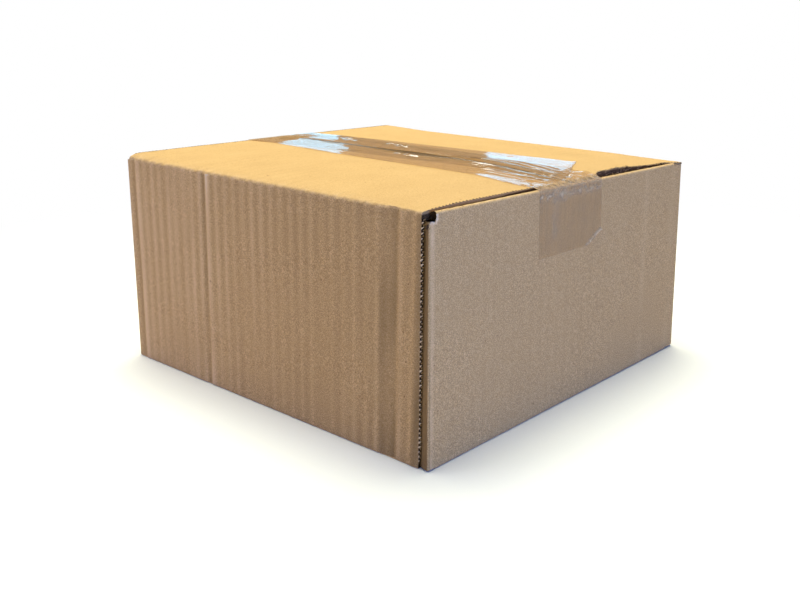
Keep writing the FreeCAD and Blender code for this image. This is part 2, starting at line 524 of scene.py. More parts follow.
@dataclass(frozen=True)
class Settling:
    """How far the hand-folded box's corners stand from a true block's, in millimetres.

    Attributes:
        size: the block's length, width and height.
        shifts: for the far and near end, the front and back, the base and top: one corner's shift.
    """

    size: tuple[float, float, float] = (203.0, 193.0, 102.0)
    shifts: tuple = (
        (((-0.4, -1.9, 0.0), (0.4, 0.9, 2.7)), ((0.0, 0.0, 0.0), (-0.6, -0.5, 0.2))),
        (((0.0, -1.3, 0.0), (0.2, -0.1, 0.8)), ((0.9, 3.0, 0.4), (0.2, 0.5, -3.4))),
    )

    def moved(self, points: Array) -> Array:
        """Moves points of the true block to where the hand-folded box has them.

        Args:
            points: places in millimetres, with the three coordinates last.

        Returns:
            The moved places, in the same shape.
        """
        points = np.asarray(points, float)
        x, y, z = (points / np.array(self.size)).transpose((points.ndim - 1, *range(points.ndim - 1)))
        shares = [(0.5 - x, 0.5 + x), (0.5 - y, 0.5 + y), (1 - np.clip(z, 0, 1), np.clip(z, 0, 1))]
        total = np.array(points)
        for i, end in enumerate(self.shifts):
            for j, side in enumerate(end):
                for k, shift in enumerate(side):
                    total += (shares[0][i] * shares[1][j] * shares[2][k])[..., None] * np.array(shift)
        return total


def settled(points: Array) -> Array:
    """The points where the hand-folded box has them."""
    return Settling().moved(points)


def linked(name: str, data: bpy.types.ID) -> bpy.types.Object:
    """Puts a new object into the scene.

    Args:
        name: its name.
        data: its mesh, lamp or camera.

    Returns:
        The object.
    """
    item = bpy.data.objects.new(name, data)
    bpy.context.scene.collection.objects.link(item)
    return item


def set_attribute(item: bpy.types.Object, name: str, values: Array) -> None:
    """Gives each point of a mesh object its number under this name."""
    item.data.attributes.new(name, "FLOAT", "POINT").data.foreach_set("value", values.astype(np.float32))


def make_object(name: str, points: Array, faces: Sequence, materials: Sequence[bpy.types.Material],
                indices: Sequence[int] | None = None, sharp_deg: float = 40.0) -> bpy.types.Object:
    """Makes a smooth mesh object at the origin from points in millimetres.

    Args:
        name: the object's name.
        points: n by 3 places.
        faces: lists of point numbers.
        materials: the object's material slots.
        indices: each face's slot number, or None for the first slot.
        sharp_deg: edges with a larger turn than this stay sharp.

    Returns:
        The object, linked into the scene.
    """
    mesh = bpy.data.meshes.new(name)
    mesh.from_pydata((settled(points) * MM).tolist(), [], [list(map(int, f)) for f in faces])
    for material in materials:
        mesh.materials.append(material)
    if indices is not None:
        mesh.polygons.foreach_set("material_index", np.asarray(indices, np.int32))
    mesh.polygons.foreach_set("use_smooth", np.ones(len(mesh.polygons), bool))
    mesh.update()
    mesh.set_sharp_from_angle(angle=math.radians(sharp_deg))
    return linked(name, mesh)


def grid_faces(index: Array, flip: bool = False) -> Array:
    """The quads of a grid of point numbers, turned round if flip is set."""
    quads = np.stack([index[:-1, :-1], index[:-1, 1:], index[1:, 1:], index[1:, :-1]], -1).reshape(-1, 4)
    return quads[:, ::-1] if flip else quads


def unit(vectors: Array) -> Array:
    """The vectors at length 1."""
    return vectors / np.maximum(np.linalg.norm(vectors, axis=-1, keepdims=True), 1e-9)


class FoldedSheet:
    """A sheet with an outer and an inner face, closed round its free edges by a grooved rim."""

    def __init__(self) -> None:
        """Starts with no points."""
        self.outer: list[Array] = []
        self.inner: list[Array] = []
        self.quads: list[Array] = []
        self.shading_and_wear: list[Array] = []
        self.count = 0

    def add(self, outer: Array, inner: Array, shading_and_wear: Array, joined: Array | None = None, flip: bool = False,
            keep: Array | None = None) -> Array:
        """Adds a grid of points.

        Args:
            outer: rows by columns by 3 places on the outer face.
            inner: the places under them on the inner face.
            shading_and_wear: how much the outer face is lightened, above 0, by rubbing, tearing and painted
                highlights, or darkened, below 0, by painted shade, at each.
            joined: point numbers of an earlier row that the first row of this grid continues.
            flip: True where the rows run the other way.
            keep: which quads of the grid are there, or None for all.

        Returns:
            The grid's point numbers, with the joined row first.
        """
        rows, columns = outer.shape[:2]
        index = np.arange(self.count, self.count + rows * columns).reshape(rows, columns)
        self.outer.append(outer.reshape(-1, 3))
        self.inner.append(inner.reshape(-1, 3))
        self.shading_and_wear.append(shading_and_wear.reshape(-1))
        self.count += rows * columns
        if joined is not None:
            index = np.vstack([joined[None, :], index])
        quads = grid_faces(index, flip)
        self.quads.append(quads if keep is None else quads[keep.reshape(-1)])
        return index

    def build(self, name: str, rim: "CutRim", finishes: Finishes) -> bpy.types.Object:
        """Closes the sheet and makes its object.

        Args:
            name: the object's name.
            rim: the section of the free edges.
            finishes: the materials.

        Returns:
            The closed sheet.
        """
        outer = np.concatenate(self.outer)
        inner = np.concatenate(self.inner)
        quads = np.concatenate(self.quads)
        edges = np.concatenate([quads[:, [i, (i + 1) % 4]] for i in range(4)])
        keys = np.sort(edges, axis=1)
        _, first, times = np.unique(keys, axis=0, return_index=True, return_counts=True)
        free = edges[first[times == 1]]
        ring = rim.section(outer, inner, quads, free)
        at = {int(v): i for i, v in enumerate(np.unique(free))}
        total = len(outer)
        groove = [(lambda v, k=k: 2 * total + k * len(at) + at[v]) for k in range(len(ring))]
        layers = [lambda v: v, *groove, lambda v: total + v]
        sides = []
        for a, b in free.tolist():
            for low, high in zip(layers, layers[1:]):
                sides.append((low(b), low(a), high(a), high(b)))
        points = np.concatenate([outer, inner] + ring)
        used = np.unique(quads)
        renumber = np.full(len(points), -1)
        kept = np.concatenate([used, used + total, np.arange(2 * total, len(points))])
        renumber[kept] = np.arange(len(kept))
        faces = np.concatenate([quads, quads[:, ::-1] + total, np.array(sides)])
        slots = [0] * (2 * len(quads)) + [1] * len(sides)
        made = make_object(name, points[kept], renumber[faces].tolist(), [finishes.kraft, finishes.shaded_cut_edge],
                           slots, sharp_deg=38.0)
        shading_and_wear = np.zeros(len(points))
        shading_and_wear[:total] = np.concatenate(self.shading_and_wear)
        set_attribute(made, "shading_and_wear", shading_and_wear[kept])
        return made


@dataclass(frozen=True)
class CutRim:
    """The section of a cut edge: the two liners stand out past the core between them.

    Attributes:
        liner: the liners' share of the thickness.
        groove: how far the core lies back.
        shallow: how far it does at the top flaps.
        shallow_above: height over which the edge is that of a top flap.
        ragged: how uneven that is.
    """

    liner: float = 0.13
    groove: float = 1.5
    shallow: float = 0.45
    shallow_above: float = 101.0
    ragged: float = 0.35

    def section(self, outer: Array, inner: Array, quads: Array, free: Array) -> list[Array]:
        """The rim's points between the two faces, as one array for each step of the section.

        Args:
            outer: the outer face's points.
            inner: the inner face's points.
            quads: the outer face's quads.
            free: its free edges, directed as in their quads.

        Returns:
            Four arrays of points, one row for each point on the free edges.
        """
        corners = outer[quads]
        facing = unit(np.cross(corners[:, 2] - corners[:, 0], corners[:, 3] - corners[:, 1]))
        normals = np.zeros_like(outer)
        for i in range(4):
            np.add.at(normals, quads[:, i], facing)
        normals = unit(normals)
        away = np.zeros_like(outer)
        along = unit(outer[free[:, 1]] - outer[free[:, 0]])
        for end in (0, 1):
            np.add.at(away, free[:, end], np.cross(along, normals[free[:, end]]))
        here = np.unique(free)
        back = unit(away[here])
        deep = np.where(outer[here, 2:] > self.shallow_above, self.shallow, self.groove)
        uneven = np.random.default_rng(5).uniform(1 - self.ragged, 1, (len(here), 1)) * deep
        across = inner[here] - outer[here]
        lip = outer[here] + across * self.liner
        sill = outer[here] + across * (1 - self.liner)
        return [lip, lip - back * uneven, sill - back * uneven, sill]


class Wall(Enum):
    """The four panels, in their order round the box from the glued corner."""

    NEAR_END = 0
    BACK = 1
    FAR_END = 2
    FRONT = 3

    @property
    def is_end(self) -> bool:
        """True for the end panels, whose flaps lie under the long ones."""
        return self in (Wall.NEAR_END, Wall.FAR_END)


# How far apart the sheet's columns of points are, beside the glued corner and along each wall.
JOINT_SPACING = 0.45
COLUMN_SPACING = {Wall.NEAR_END: 1.3, Wall.BACK: 1.9, Wall.FAR_END: 2.0, Wall.FRONT: 0.9}


@dataclass
class Carton:
    """The folded sheet: walls, closed flaps and the glued corner.

    Attributes:
        length: outside length along X, at the creases.
        width: outside width along Y.
        height: height of the top creases.
        board: the board's thickness.
        pitch: spacing of the flutes.
        first_flute: where one flute's crest is.
        flute_lean: how far the flutes lean to the near end for each millimetre up.
        crease: radius of the top flaps' creases.
        base_crease: radius of the base flaps' creases.
        corner: radius of the wall folds.
        flap_depth: depth of the long flaps.
        flap_setback: how far the long flaps' ends lie back from the near end panel.
        far_setback: how far they lie back from the far one.
        end_setback: how far the end flaps' sides lie back from the long panels.
        joint_setback: the same beside the glued corner.
        notch: how far the sheet is cut down at the glued corner.
        cut_top: setback of the front panel's cut edge at the top.
        cut_base: the same at the base.
        fold_depth: how far the tab's fold lies behind the front panel's face.
        nose: radius of that fold.
        tab_reach: how far the glue tab reaches from the end panel.
        tab_ends: how far its ends lie over the base crease and under the top one.
        close: how near the creases the walls' rows of points lie close together.
        shelf: how far the end flaps dip behind their creases.
        base_tape_at: where the base's tape starts, from the base creases; the board is pressed in there.
        crushed: thickness that a crushed crease or edge keeps.
        inset: how far the inner face stops short of the outer one at the creases.
        flute_lines: where single flutes stand out as ridges on the front panel, with painted highlights along
            them.
        bent_flutes: how far the front panel's bent flutes stand out, at places along it.
        front_shading_bands: painted shade and highlight bands beside the front panel's bent flutes, darker
            below 0 and lighter above, at places along it.
        lines: each flap's rows of points on the outer and inner face, by wall and side.
    """

    length: float
    width: float
    height: float
    board: float = 3.0
    pitch: float = 6.45
    first_flute: float = -2.5
    flute_lean: float = 0.021
    crease: float = 1.1
    base_crease: float = 0.45
    corner: float = 1.5
    flap_depth: float = 96.0
    flap_setback: float = 3.6
    far_setback: float = 2.2
    end_setback: float = 8.0
    joint_setback: float = 4.2
    notch: float = 3.5
    cut_top: float = 3.5
    cut_base: float = 5.1
    fold_depth: float = 0.35
    nose: float = 0.5
    tab_reach: float = 34.0
    tab_ends: tuple[float, float] = (8.0, 8.5)
    close: float = 12.0
    shelf: float = 1.3
    base_tape_at: float = 72.2
    crushed: float = 1.0
    inset: float = 3.3
    flute_lines: tuple = (-79.9, -66.6, -47.3, -41.0, -28.3, -21.8, -15.4, -2.5, 10.6, 23.6, 30.1, 36.2, 48.8,
                          61.8, 74.2)
    bent_flutes: tuple = (
        (-101.5, 0.0), (-99.5, -0.10), (-96.6, -0.42), (-93.2, 0.06), (-89.0, 0.0), (-44.0, 0.0),
        (-41.0, -0.02), (-38.2, -0.50), (-35.2, 0.14), (-30.5, 0.0), (73.0, 0.0), (75.4, -0.04),
        (84.0, -0.75), (86.4, -0.30), (89.5, -0.36), (92.4, -0.34), (94.2, -0.05), (95.7, -0.05),
        (98.5, -0.55))
    front_shading_bands: tuple = (
        (-101.5, 0.0), (-100.0, -0.06), (-98.2, -0.14), (-97.2, -0.30), (-95.6, -0.30), (-94.6, 0.08),
        (-93.6, 0.34), (-91.8, 0.32), (-90.2, 0.10), (-88.0, 0.0), (-40.0, 0.0), (-39.2, -0.44),
        (-37.4, -0.44), (-36.6, 0.24), (-35.7, 0.54), (-34.4, 0.44), (-32.6, 0.14), (-31.0, 0.0),
        (72.0, 0.0), (73.4, 0.02), (74.8, 0.04), (76.4, -0.28), (80.0, -0.30), (82.0, -0.46),
        (83.8, -0.48), (84.9, -0.05), (85.9, 0.30), (87.2, 0.24), (88.8, -0.06), (90.6, -0.06),
        (91.8, 0.16), (93.2, 0.20), (94.2, -0.28), (96.0, -0.62), (98.5, -0.50))
    lines: dict = field(default_factory=dict)

    def __post_init__(self) -> None:
        """Works out the half sizes and the mean setback of the front panel's cut edge."""
        self.half_x = self.length / 2
        self.half_y = self.width / 2
        self.setback = (self.cut_top + self.cut_base) / 2

    def cut_lean(self, z: Array | float) -> Array | float:
        """How far along X the front panel's cut edge leans from its mean place, at height z."""
        return self.setback - self.cut_base - (self.cut_top - self.cut_base) * z / self.height

    def on(self, wall: Wall) -> Array:
        """Which columns belong to a wall."""
        return self.side == wall.value

    def joint_plan(self) -> tuple[list[tuple[float, float]], int]:
        """Lays out the glue tab, from its free side up to the fold behind the front panel.

        Returns:
            The places along it, and how many of them are the tab's flat part.
        """
        hx, hy = self.half_x, self.half_y
        root = self.setback + 8.0
        tab = [(hx - u, -hy + self.board) for u in steps([self.tab_reach, root], 4.0)]
        slope = ((self.nose, self.fold_depth), (self.setback - 0.2, 1.75), (self.setback + 3.0, 2.6),
                 (root, self.board))
        ramp = [(hx - u, -hy + float(through(u, slope))) for u in steps([root, self.nose], JOINT_SPACING)[1:]]
        fold_y = -hy + self.fold_depth
        nose = [(hx - self.nose * (1 - math.sin(a)), fold_y + self.nose * (1 - math.cos(a)))
                for a in np.linspace(0, math.pi / 2, 6)[1:]]
        return tab + ramp + nose, len(tab) + 12

    def columns(self) -> None:
        """Lays out the plan: a column of points for each place along the sheet."""
        hx, hy, r = self.half_x, self.half_y, self.corner
        joint, flat = self.joint_plan()
        found = []

        def put(x: float, y: float, wall: Wall, t: float, lean: float = 0.0) -> None:
            """Adds a column at (x, y), t along its wall, that follows the cut edge's lean by a share."""
            found.append((x, y, wall.value, t, lean))

        for x, y in joint:
            put(x, y, Wall.NEAR_END, -hy, float(smooth((hx - 0.4 - x) / 2.0)))
        last_y = -hy + self.fold_depth + self.nose
        by_joint = -hy + 9.0
        for t in steps([last_y, by_joint], JOINT_SPACING)[1:-1]:
            put(hx, t, Wall.NEAR_END, t)
        for t in steps([by_joint, hy - self.end_setback, hy - r], COLUMN_SPACING[Wall.NEAR_END]):
            put(hx, t, Wall.NEAR_END, t)
        self.round_corner(put, hx - r, hy - r, 0, Wall.BACK, hx - r)
        back = [hx - r, hx - self.flap_setback, self.far_setback - hx, r - hx]
        for t in steps(back, COLUMN_SPACING[Wall.BACK])[1:]:
            put(t, hy, Wall.BACK, t)
        self.round_corner(put, r - hx, hy - r, 1, Wall.FAR_END, hy - r)
        far_end = [hy - r, hy - self.end_setback, self.end_setback - hy, r - hy]
        for t in steps(far_end, COLUMN_SPACING[Wall.FAR_END])[1:]:
            put(-hx, t, Wall.FAR_END, t)
        self.round_corner(put, r - hx, r - hy, 2, Wall.FRONT, r - hx)
        front = [r - hx, self.far_setback - hx, hx - self.setback]
        for t in steps(front, COLUMN_SPACING[Wall.FRONT])[1:]:
            put(t, -hy, Wall.FRONT, t, float(smooth((t - 84.0) / 12.0)))
        table = np.array(found)
        self.plan, self.side, self.along, self.lean = table[:, :2], table[:, 2], table[:, 3], table[:, 4]
        ahead = unit(np.gradient(self.plan, axis=0))
        self.normal = np.stack([ahead[:, 1], -ahead[:, 0]], -1)
        self.in_corner = np.zeros(len(found), bool)
        for cx, cy in ((hx, hy), (-hx, hy), (-hx, -hy)):
            near = (abs(self.plan[:, 0] - cx) < r - 1e-6) & (abs(self.plan[:, 1] - cy) < r - 1e-6)
            self.in_corner |= near
        self.before_end = np.arange(len(found)) < len(joint)
        self.is_tab = np.arange(len(found)) < flat

    def round_corner(self, put: Callable, cx: float, cy: float, quarter: int, wall: Wall, t: float) -> None:
        """Adds the columns of a rounded wall fold.

        Args:
            put: adds one column.
            cx: the middle of the rounding along X.
            cy: the same along Y.
            quarter: how many quarter turns round the box the fold starts.
            wall: the wall that the columns belong to.
            t: the place along it that they all have.
        """
        for a in np.linspace(0, math.pi / 2, 7)[1:]:
            angle = a + quarter * math.pi / 2
            put(cx + self.corner * math.cos(angle), cy + self.corner * math.sin(angle), wall, t)

    def relief(self, z: Array) -> Array:
        """How far the walls stand out of true: flutes, handling marks and a soft unevenness.

        Args:
            z: the height of each place, rows by columns.

        Returns:
            The distance out at each.
        """
        t = self.along[None, :]
        phase = self.flute_phase(self.leaned(t, z))
        near_top = smooth((z - self.height + 15.0) / 14.0)
        wash = np.select(
            [self.on(Wall.FRONT), self.on(Wall.BACK)],
            [0.06 + 0.03 * smooth((-t - 20.0) / 40.0) + 0.11 * near_top, 0.10 + 0.05 * near_top], 0.022)
        uneven = 1 + 0.35 * Waviness(3, 40.0).at(t, z)
        ripple = -wash * uneven * (0.5 - 0.5 * np.cos(phase))
        front = np.where(self.on(Wall.FRONT), self.front_marks(t, z), 0.0)
        end = np.where(self.on(Wall.NEAR_END), self.end_marks(t), 0.0)
        soft = 0.10 * Waviness(8, 70.0).at(t + 400.0 * self.side, z)
        held = np.where(self.in_corner | self.before_end, 0.0, 1.0)
        return (ripple + front + end + soft * smooth((self.height - z) / 20) * smooth(z / 20)) * held

    def flute_phase(self, t: Array) -> Array:
        """The turn of the flutes' wave at t, whole at their crests."""
        return math.tau * (t - self.first_flute) / self.pitch

    def leaned(self, t: Array, z: Array) -> Array:
        """The place t at height z, followed along the flutes to the panel's middle."""
        return t - self.flute_lean * (z - self.height / 2) * smooth((t + self.half_x) / 60.0)

    def front_marks(self, t: Array, z: Array) -> Array:
        """The front panel's handling marks: bent flutes and a crushed line under the crease.

        Args:
            t: the place along the panel.
            z: the height.

        Returns:
            How far the marks stand out at each place.
        """
        t = self.leaned(t, z)
        bent = through(t, self.bent_flutes)
        line = peak(z - self.height, -4.6, 0.55) * smooth((t - 32.0) / 8.0)
        ridges = sum(peak(t, x, 0.8) for x in self.flute_lines)
        return bent - 0.25 * line + 0.07 * ridges

    def end_marks(self, t: Array) -> Array:
        """The near end panel's faint bent flute and its dip beside the back corner."""
        return 0.10 * peak(t, 61.5, 2.4) - 0.12 * peak(t, 88.0, 5.0)

    def patches(self, t: Array, z: Array) -> Array:
        """How strongly the painted shading and rubbing show, which differs over the walls."""
        return 0.85 + 0.25 * Waviness(19, 26.0).at(t, z * 0.4)

    def front_shading_and_wear(self, t: Array, z: Array) -> Array:
        """The front panel's painted shading: highlights along single flutes, shade and highlight bands beside
        the bent flutes, highlights on all the crests with shade between them, a lighter left end, and a
        highlight along the crease.

        Args:
            t: the place along the panel.
            z: the height.

        Returns:
            How much lighter, above 0, or darker, below 0, the panel is painted at each place.
        """
        leant = self.leaned(t, z)
        left = smooth((-t - 20.0) / 40.0)
        # Painted highlights along the single flutes.
        pale = sum(peak(leant, x, 0.8) for x in self.flute_lines) * 0.12
        # Painted light: the left end lighter and the right end darker.
        light_falloff = 0.12 * left - 0.10 * smooth((t + 10.0) / 60.0)
        # Painted highlight on each flute's crest and painted shade in its trough.
        crest = (0.12 + 0.02 * left) * np.cos(self.flute_phase(leant))
        crest = crest * (0.8 + 0.5 * Waviness(45, 30.0).at(t, z * 0.3))
        crest = crest + 0.05 * Waviness(33, 11.0).at(t, z * 0.03) + light_falloff
        # Painted highlight along the top crease, broken up like torn fibres.
        crease = 0.30 * smooth((z - self.height + 2.2) / 1.2) * smooth(Waviness(23, 2.6).at(t, z) + 0.2)
        return (pale + through(leant, self.front_shading_bands) + crest) * self.patches(t, z) + crease

    def end_shading_and_wear(self, t: Array, z: Array) -> Array:
        """The near end panel's painted shading and its torn rim: a painted highlight on its fold with a strip
        of painted shade at the fold's foot, painted highlights along a bent flute and a dip, and the torn rim
        of the corner's hole.

        Args:
            t: the place along the panel.
            z: the height.

        Returns:
            How much lighter, above 0, or darker, below 0, the panel is painted at each place.
        """
        v = t + self.half_y
        low = smooth((70.0 - z) / 40.0)
        # Painted highlight on the rounded fold, and painted shade, stronger lower down, in the strip at its
        # foot.
        fold = through(v, ((0.85, -0.15), (1.1, 0.0), (1.5, 0.24), (2.1, 0.36), (2.9, 0.28), (4.0, 0.0)))
        fold_shade = 0.75 * low * peak(v, 1.15, 0.35)
        fold = fold * (0.85 + 0.3 * Waviness(21, 14.0).at(v, z)) - fold_shade
        # Painted highlights along the bent flute and the dip beside the back corner.
        line = 0.12 * peak(t, 61.5, 2.0) + 0.08 * peak(t, 88.0, 3.0)
        over = z - self.height + self.notch
        from_hole = np.hypot(np.clip(v - self.joint_setback + 1.0, 0, None), np.clip(-over + 1.0, 0, None))
        torn = smooth((2.6 - from_hole) / 0.5) * smooth(Waviness(43, 1.0).at(v, z) * 0.9 + 0.9)
        return (fold + line * self.patches(t, z)) * (1 - torn) + 0.95 * torn

    def wall_shading_and_wear(self, z: Array) -> Array:
        """The painted shading and rubbing of all the walls.

        Args:
            z: the height of each place, rows by columns.

        Returns:
            How much lighter, above 0, or darker, below 0, the walls are painted at each place.
        """
        t = self.along[None, :]
        behind = self.half_x - self.plan[None, :, 0]
        # Painted shade over the glue tab's ramp, which lies back behind the front panel's cut edge.
        joint_shade = -0.95 * smooth((behind - 0.05) / 0.45) + np.zeros_like(z)
        # Painted highlights on the back panel's flute crests and painted shade between them.
        back = 0.05 * np.cos(self.flute_phase(self.leaned(t, z))) * self.patches(t, z)
        chosen = np.select(
            [self.on(Wall.FRONT), self.on(Wall.BACK), self.before_end, self.on(Wall.NEAR_END)],
            [self.front_shading_and_wear(t, z), back, joint_shade, self.end_shading_and_wear(t, z)], 0.0)
        return np.clip(chosen, -1.0, 1.0)

    def crease_line(self, t: Array, wall: Wall) -> Array:
        """How far a top crease is pressed down, scalloped by the flutes.

        Args:
            t: the place along it.
            wall: the panel that it is on.

        Returns:
            The height at each place, mostly below 0.
        """
        depth = 0.32 + 0.40 * smooth((-t - 15.0) / 45.0) if wall is Wall.FRONT else 0.12
        scallop = (0.5 - 0.5 * np.cos(self.flute_phase(t - self.flute_lean * self.height / 2))) ** 2
        fuzz = 0.10 * Waviness(15, 2.2).at(t, 0.0) if wall is Wall.FRONT else 0.0
        return fuzz - depth * scallop * (0.7 + 0.5 * Waviness(17 + wall.value, 30.0).at(t, 0.0))

    def long_flap_height(self, x: Array, w: Array, middle: tuple, near: tuple) -> Array:
        """Blends a long flap's height from its middle to its two ends.

        Args:
            x: the place along the flap.
            w: how far it is from the crease.
            middle: the flap's height half way along it, at places from the crease.
            near: the same at its near end.

        Returns:
            The height over the creases at each place.
        """
        far = ((0, 0), (1.5, 0.8), (3.5, 1.6), (6.0, 1.85), (96.5, 2.1))
        end = np.where(x > 0, through(w, near), through(w, far))
        share = smooth((np.abs(x) - 62.0) / 36.0)
        to_seam = 0.85 * smooth((w - 60.0) / 36.0) * smooth((x + 98.0) / 25.0) * smooth((72.0 - x) / 30.0)
        return through(w, middle) * (1 - share) + end * share + to_seam

    def front_height(self, x: Array, w: Array) -> Array:
        """Height of the front flap over the creases, which dips at the middle of the seam.

        Args:
            x: the place along the flap.
            w: how far it is from the crease.

        Returns:
            The height at each place.
        """
        middle = ((0, 0), (3, 0.75), (8, 1.2), (20, 1.65), (60, 2.3), (96.5, 2.5))
        near = ((0, 0), (4, 0.2), (9, 0.4), (15.5, 0.6), (25.5, 0.75), (35.5, 0.8), (50, 0.75), (68, 0.5),
                (80, 0.4), (96.5, 0.4))
        dip = 0.40 * smooth((w - 68) / 26) * peak(x, 8.0, 30.0)
        return self.long_flap_height(x, w, middle, near) - dip

    def back_height(self, x: Array, w: Array) -> Array:
        """Height of the back flap over the creases, which curls up at its near end.

        Args:
            x: the place along the flap.
            w: how far it is from the crease.

        Returns:
            The height at each place.
        """
        middle = ((0, 0), (3, 0.8), (8, 1.3), (20, 1.8), (60, 2.6), (96.5, 2.9))
        near = ((0, 0), (6, 0.1), (14, 0.35), (24, 0.6), (32, 0.9), (42, 1.5), (55, 2.3), (66, 2.4),
                (73, 1.9), (78, 0.9), (84, 0.6), (96.5, 0.6))
        lift = 0.35 * smooth((w - 62) / 30) * peak(x, 12.0, 26.0)
        return self.long_flap_height(x, w, middle, near) + lift

    def top_height(self, x: Array, y: Array) -> Array:
        """Height of the closed top over the creases, with the seam bridged as tape bridges it.

        Args:
            x: places along X.
            y: places along Y.

        Returns:
            The height at each place.
        """
        front = self.front_height(x, np.minimum(y + self.half_y, self.flap_depth))
        back = self.back_height(x, np.minimum(self.half_y - y, self.flap_depth))
        share = smooth((y + 1.6) / 3.2)
        return front * (1 - share) + back * share

    def walls(self, sheet: FoldedSheet) -> Array:
        """Adds the walls to the sheet.

        Args:
            sheet: the sheet that takes them.

        Returns:
            The walls' point numbers, rows by columns.
        """
        low = self.base_crease
        h = self.height
        z = np.concatenate([steps([low, 3.0, self.close], 3.0)[:-1],
                            steps([self.close, h - self.close], 6.0)[:-1],
                            steps([h - self.close, h - self.notch, h - self.crease], 0.75)])
        level = z[:, None] * np.ones(len(self.plan))[None, :]
        out = self.relief(level)
        x = self.plan[:, 0] + self.normal[:, 0] * out + self.lean * self.cut_lean(level)
        y = self.plan[:, 1] + self.normal[:, 1] * out
        outer = np.stack([x, y, level], -1)
        thick = self.wall_thickness(level)
        inside = self.inset + (level - low) / (h - self.crease - low) * (h - 2 * self.inset)
        inner = np.stack([x - self.normal[:, 0] * thick, y - self.normal[:, 1] * thick, inside], -1)
        keep = np.ones((len(z) - 1, len(self.plan) - 1), bool)
        hole = self.before_end | (self.on(Wall.NEAR_END) & (self.along < -self.half_y + self.joint_setback))
        keep[np.ix_(z[:-1] > h - self.notch - 0.1, hole[:-1])] = False
        past_tab = (z[:-1] < self.tab_ends[0]) | (z[:-1] > h - self.tab_ends[1])
        keep[np.ix_(past_tab, self.is_tab[:-1])] = False
        self.tear_hole(outer, inner, z)
        self.wall_z = z
        self.wall_outer = outer
        return sheet.add(outer, inner, self.wall_shading_and_wear(level), keep=keep)

    def wall_thickness(self, level: Array) -> Array:
        """Thickness of the walls, pressed thin at the folds, at the cut edge and round the hole.

        Args:
            level: the height of each place, rows by columns.

        Returns:
            The thickness at each.
        """
        by_cut = np.where(self.on(Wall.FRONT), smooth((self.along - 89.0) / 8.5), 0.0)
        thick = self.board - by_cut * (self.board - 1.5) - self.in_corner * 1.2
        in_ramp = 0.3 + 1.0 * smooth((self.half_x - 0.6 - self.plan[:, 0]) / 2.5)
        thick = np.where(self.before_end & ~self.is_tab, in_ramp, thick)
        on_end = self.on(Wall.NEAR_END)
        by_fold = np.minimum(thick, 0.35 + 0.8 * (self.along + self.half_y - 0.8))
        thick = np.where(on_end & ~self.before_end, by_fold, thick)
        by_hole = smooth((8.5 - self.half_y - self.along) / 4.0) * smooth((level - self.height + 8.5) / 4.0)
        return thick - by_hole * on_end * (thick - 0.9)

    def tear_hole(self, outer: Array, inner: Array, z: Array) -> None:
        """Makes the rim of the hole at the glued corner uneven and rounds its lower corner.

        Args:
            outer: the walls' outer points, which are moved.
            inner: the walls' inner points, which are moved.
            z: the rows' heights.
        """
        y = outer[:, :, 1]
        over = z[:, None] - (self.height - self.notch)
        on_end = self.on(Wall.NEAR_END)[None, :] & (outer[:, :, 0] > self.half_x - 3.0)
        by_rim = smooth(1 - np.abs(over) / 2.4) * smooth((-self.half_y + 6.5 - y) / 2.0) * on_end
        outer[:, :, 2] += by_rim * (0.35 * Waviness(29, 1.6).at(y, 0.0) + 0.25 * Waviness(31, 0.8).at(y, 0.0))
        by_side = smooth(1 - np.abs(y + self.half_y - self.joint_setback) / 1.6) * smooth(over + 1.0) * on_end
        round_off = 0.9 * smooth(1 - over / 1.6) * by_side
        outer[:, :, 1] += by_side * 0.25 * Waviness(37, 1.3).at(z[:, None], 0.0) - round_off
        inner[:, :, 1] -= round_off

    def flap_rows(self, wall: Wall, base: bool) -> Array:
        """How far from the crease each row of a flap lies, after the crease's own rows.

        Args:
            wall: the panel that the flap hangs on.
            base: True for a base flap.

        Returns:
            The rows' distances.
        """
        if wall.is_end:
            return np.concatenate([[1.25, 1.5, 2.2, 3.0, 3.7], steps([3.7, self.half_y], 19.0)[1:]])
        if base:
            tape = self.base_tape_at
            return steps([self.base_crease, 6.0, tape - 0.8, tape, self.flap_depth], 14.0)[1:]
        return steps([self.crease, 4.0, 20.0, 84.0, self.flap_depth], 2.4)[1:]

    def flap(self, sheet: FoldedSheet, walls: Array, wall: Wall, base: bool) -> None:
        """Adds one closed flap with its crease.

        Args:
            sheet: the sheet that takes it.
            walls: the walls' point numbers.
            wall: the panel that it hangs on.
            base: True for a base flap.
        """
        if wall.is_end:
            reach = self.half_y - self.end_setback
            low = -reach if wall is Wall.FAR_END else -self.half_y + self.joint_setback
        else:
            reach = self.half_x - self.flap_setback
            low = self.far_setback - self.half_x
        inside = self.on(wall) & (self.along >= low - 1e-6) & (self.along <= reach + 1e-6)
        inside &= ~self.in_corner & ~self.before_end
        first, last = np.flatnonzero(inside)[[0, -1]]
        pick = slice(first, last + 1)
        t = self.along[pick]
        edge_row = self.wall_outer[0 if base else -1, pick]
        out = -np.einsum("ij,ij->i", edge_row[:, :2] - self.plan[pick], self.normal[pick])
        arc = np.linspace(0, math.pi / 2, 5)[1:]
        rows = self.flap_rows(wall, base)
        r = self.base_crease if base else self.crease
        w = np.concatenate([r * (1 - np.cos(arc)), rows])
        rise = np.concatenate([r * (np.sin(arc) - 1), np.zeros(len(rows))])
        w2, t2 = np.meshgrid(w, t, indexing="ij")
        height = self.flap_height(wall, base, t2, w2) + rise[:, None]
        if not base:
            height = height + self.crease_line(t2, wall) * smooth(1 - w2 / 7.0)
        fade = smooth(1 - w2 / r)
        inward = w2 + out[None, :] * fade
        leaning = self.lean[None, pick] * self.cut_lean(0.0 if base else self.height)
        across = t2 + self.flap_end_shift(wall, base, t2, w2) + leaning
        outer = self.placed(wall, base, across, inward, height)
        thick = self.flap_thickness(wall, base, height)
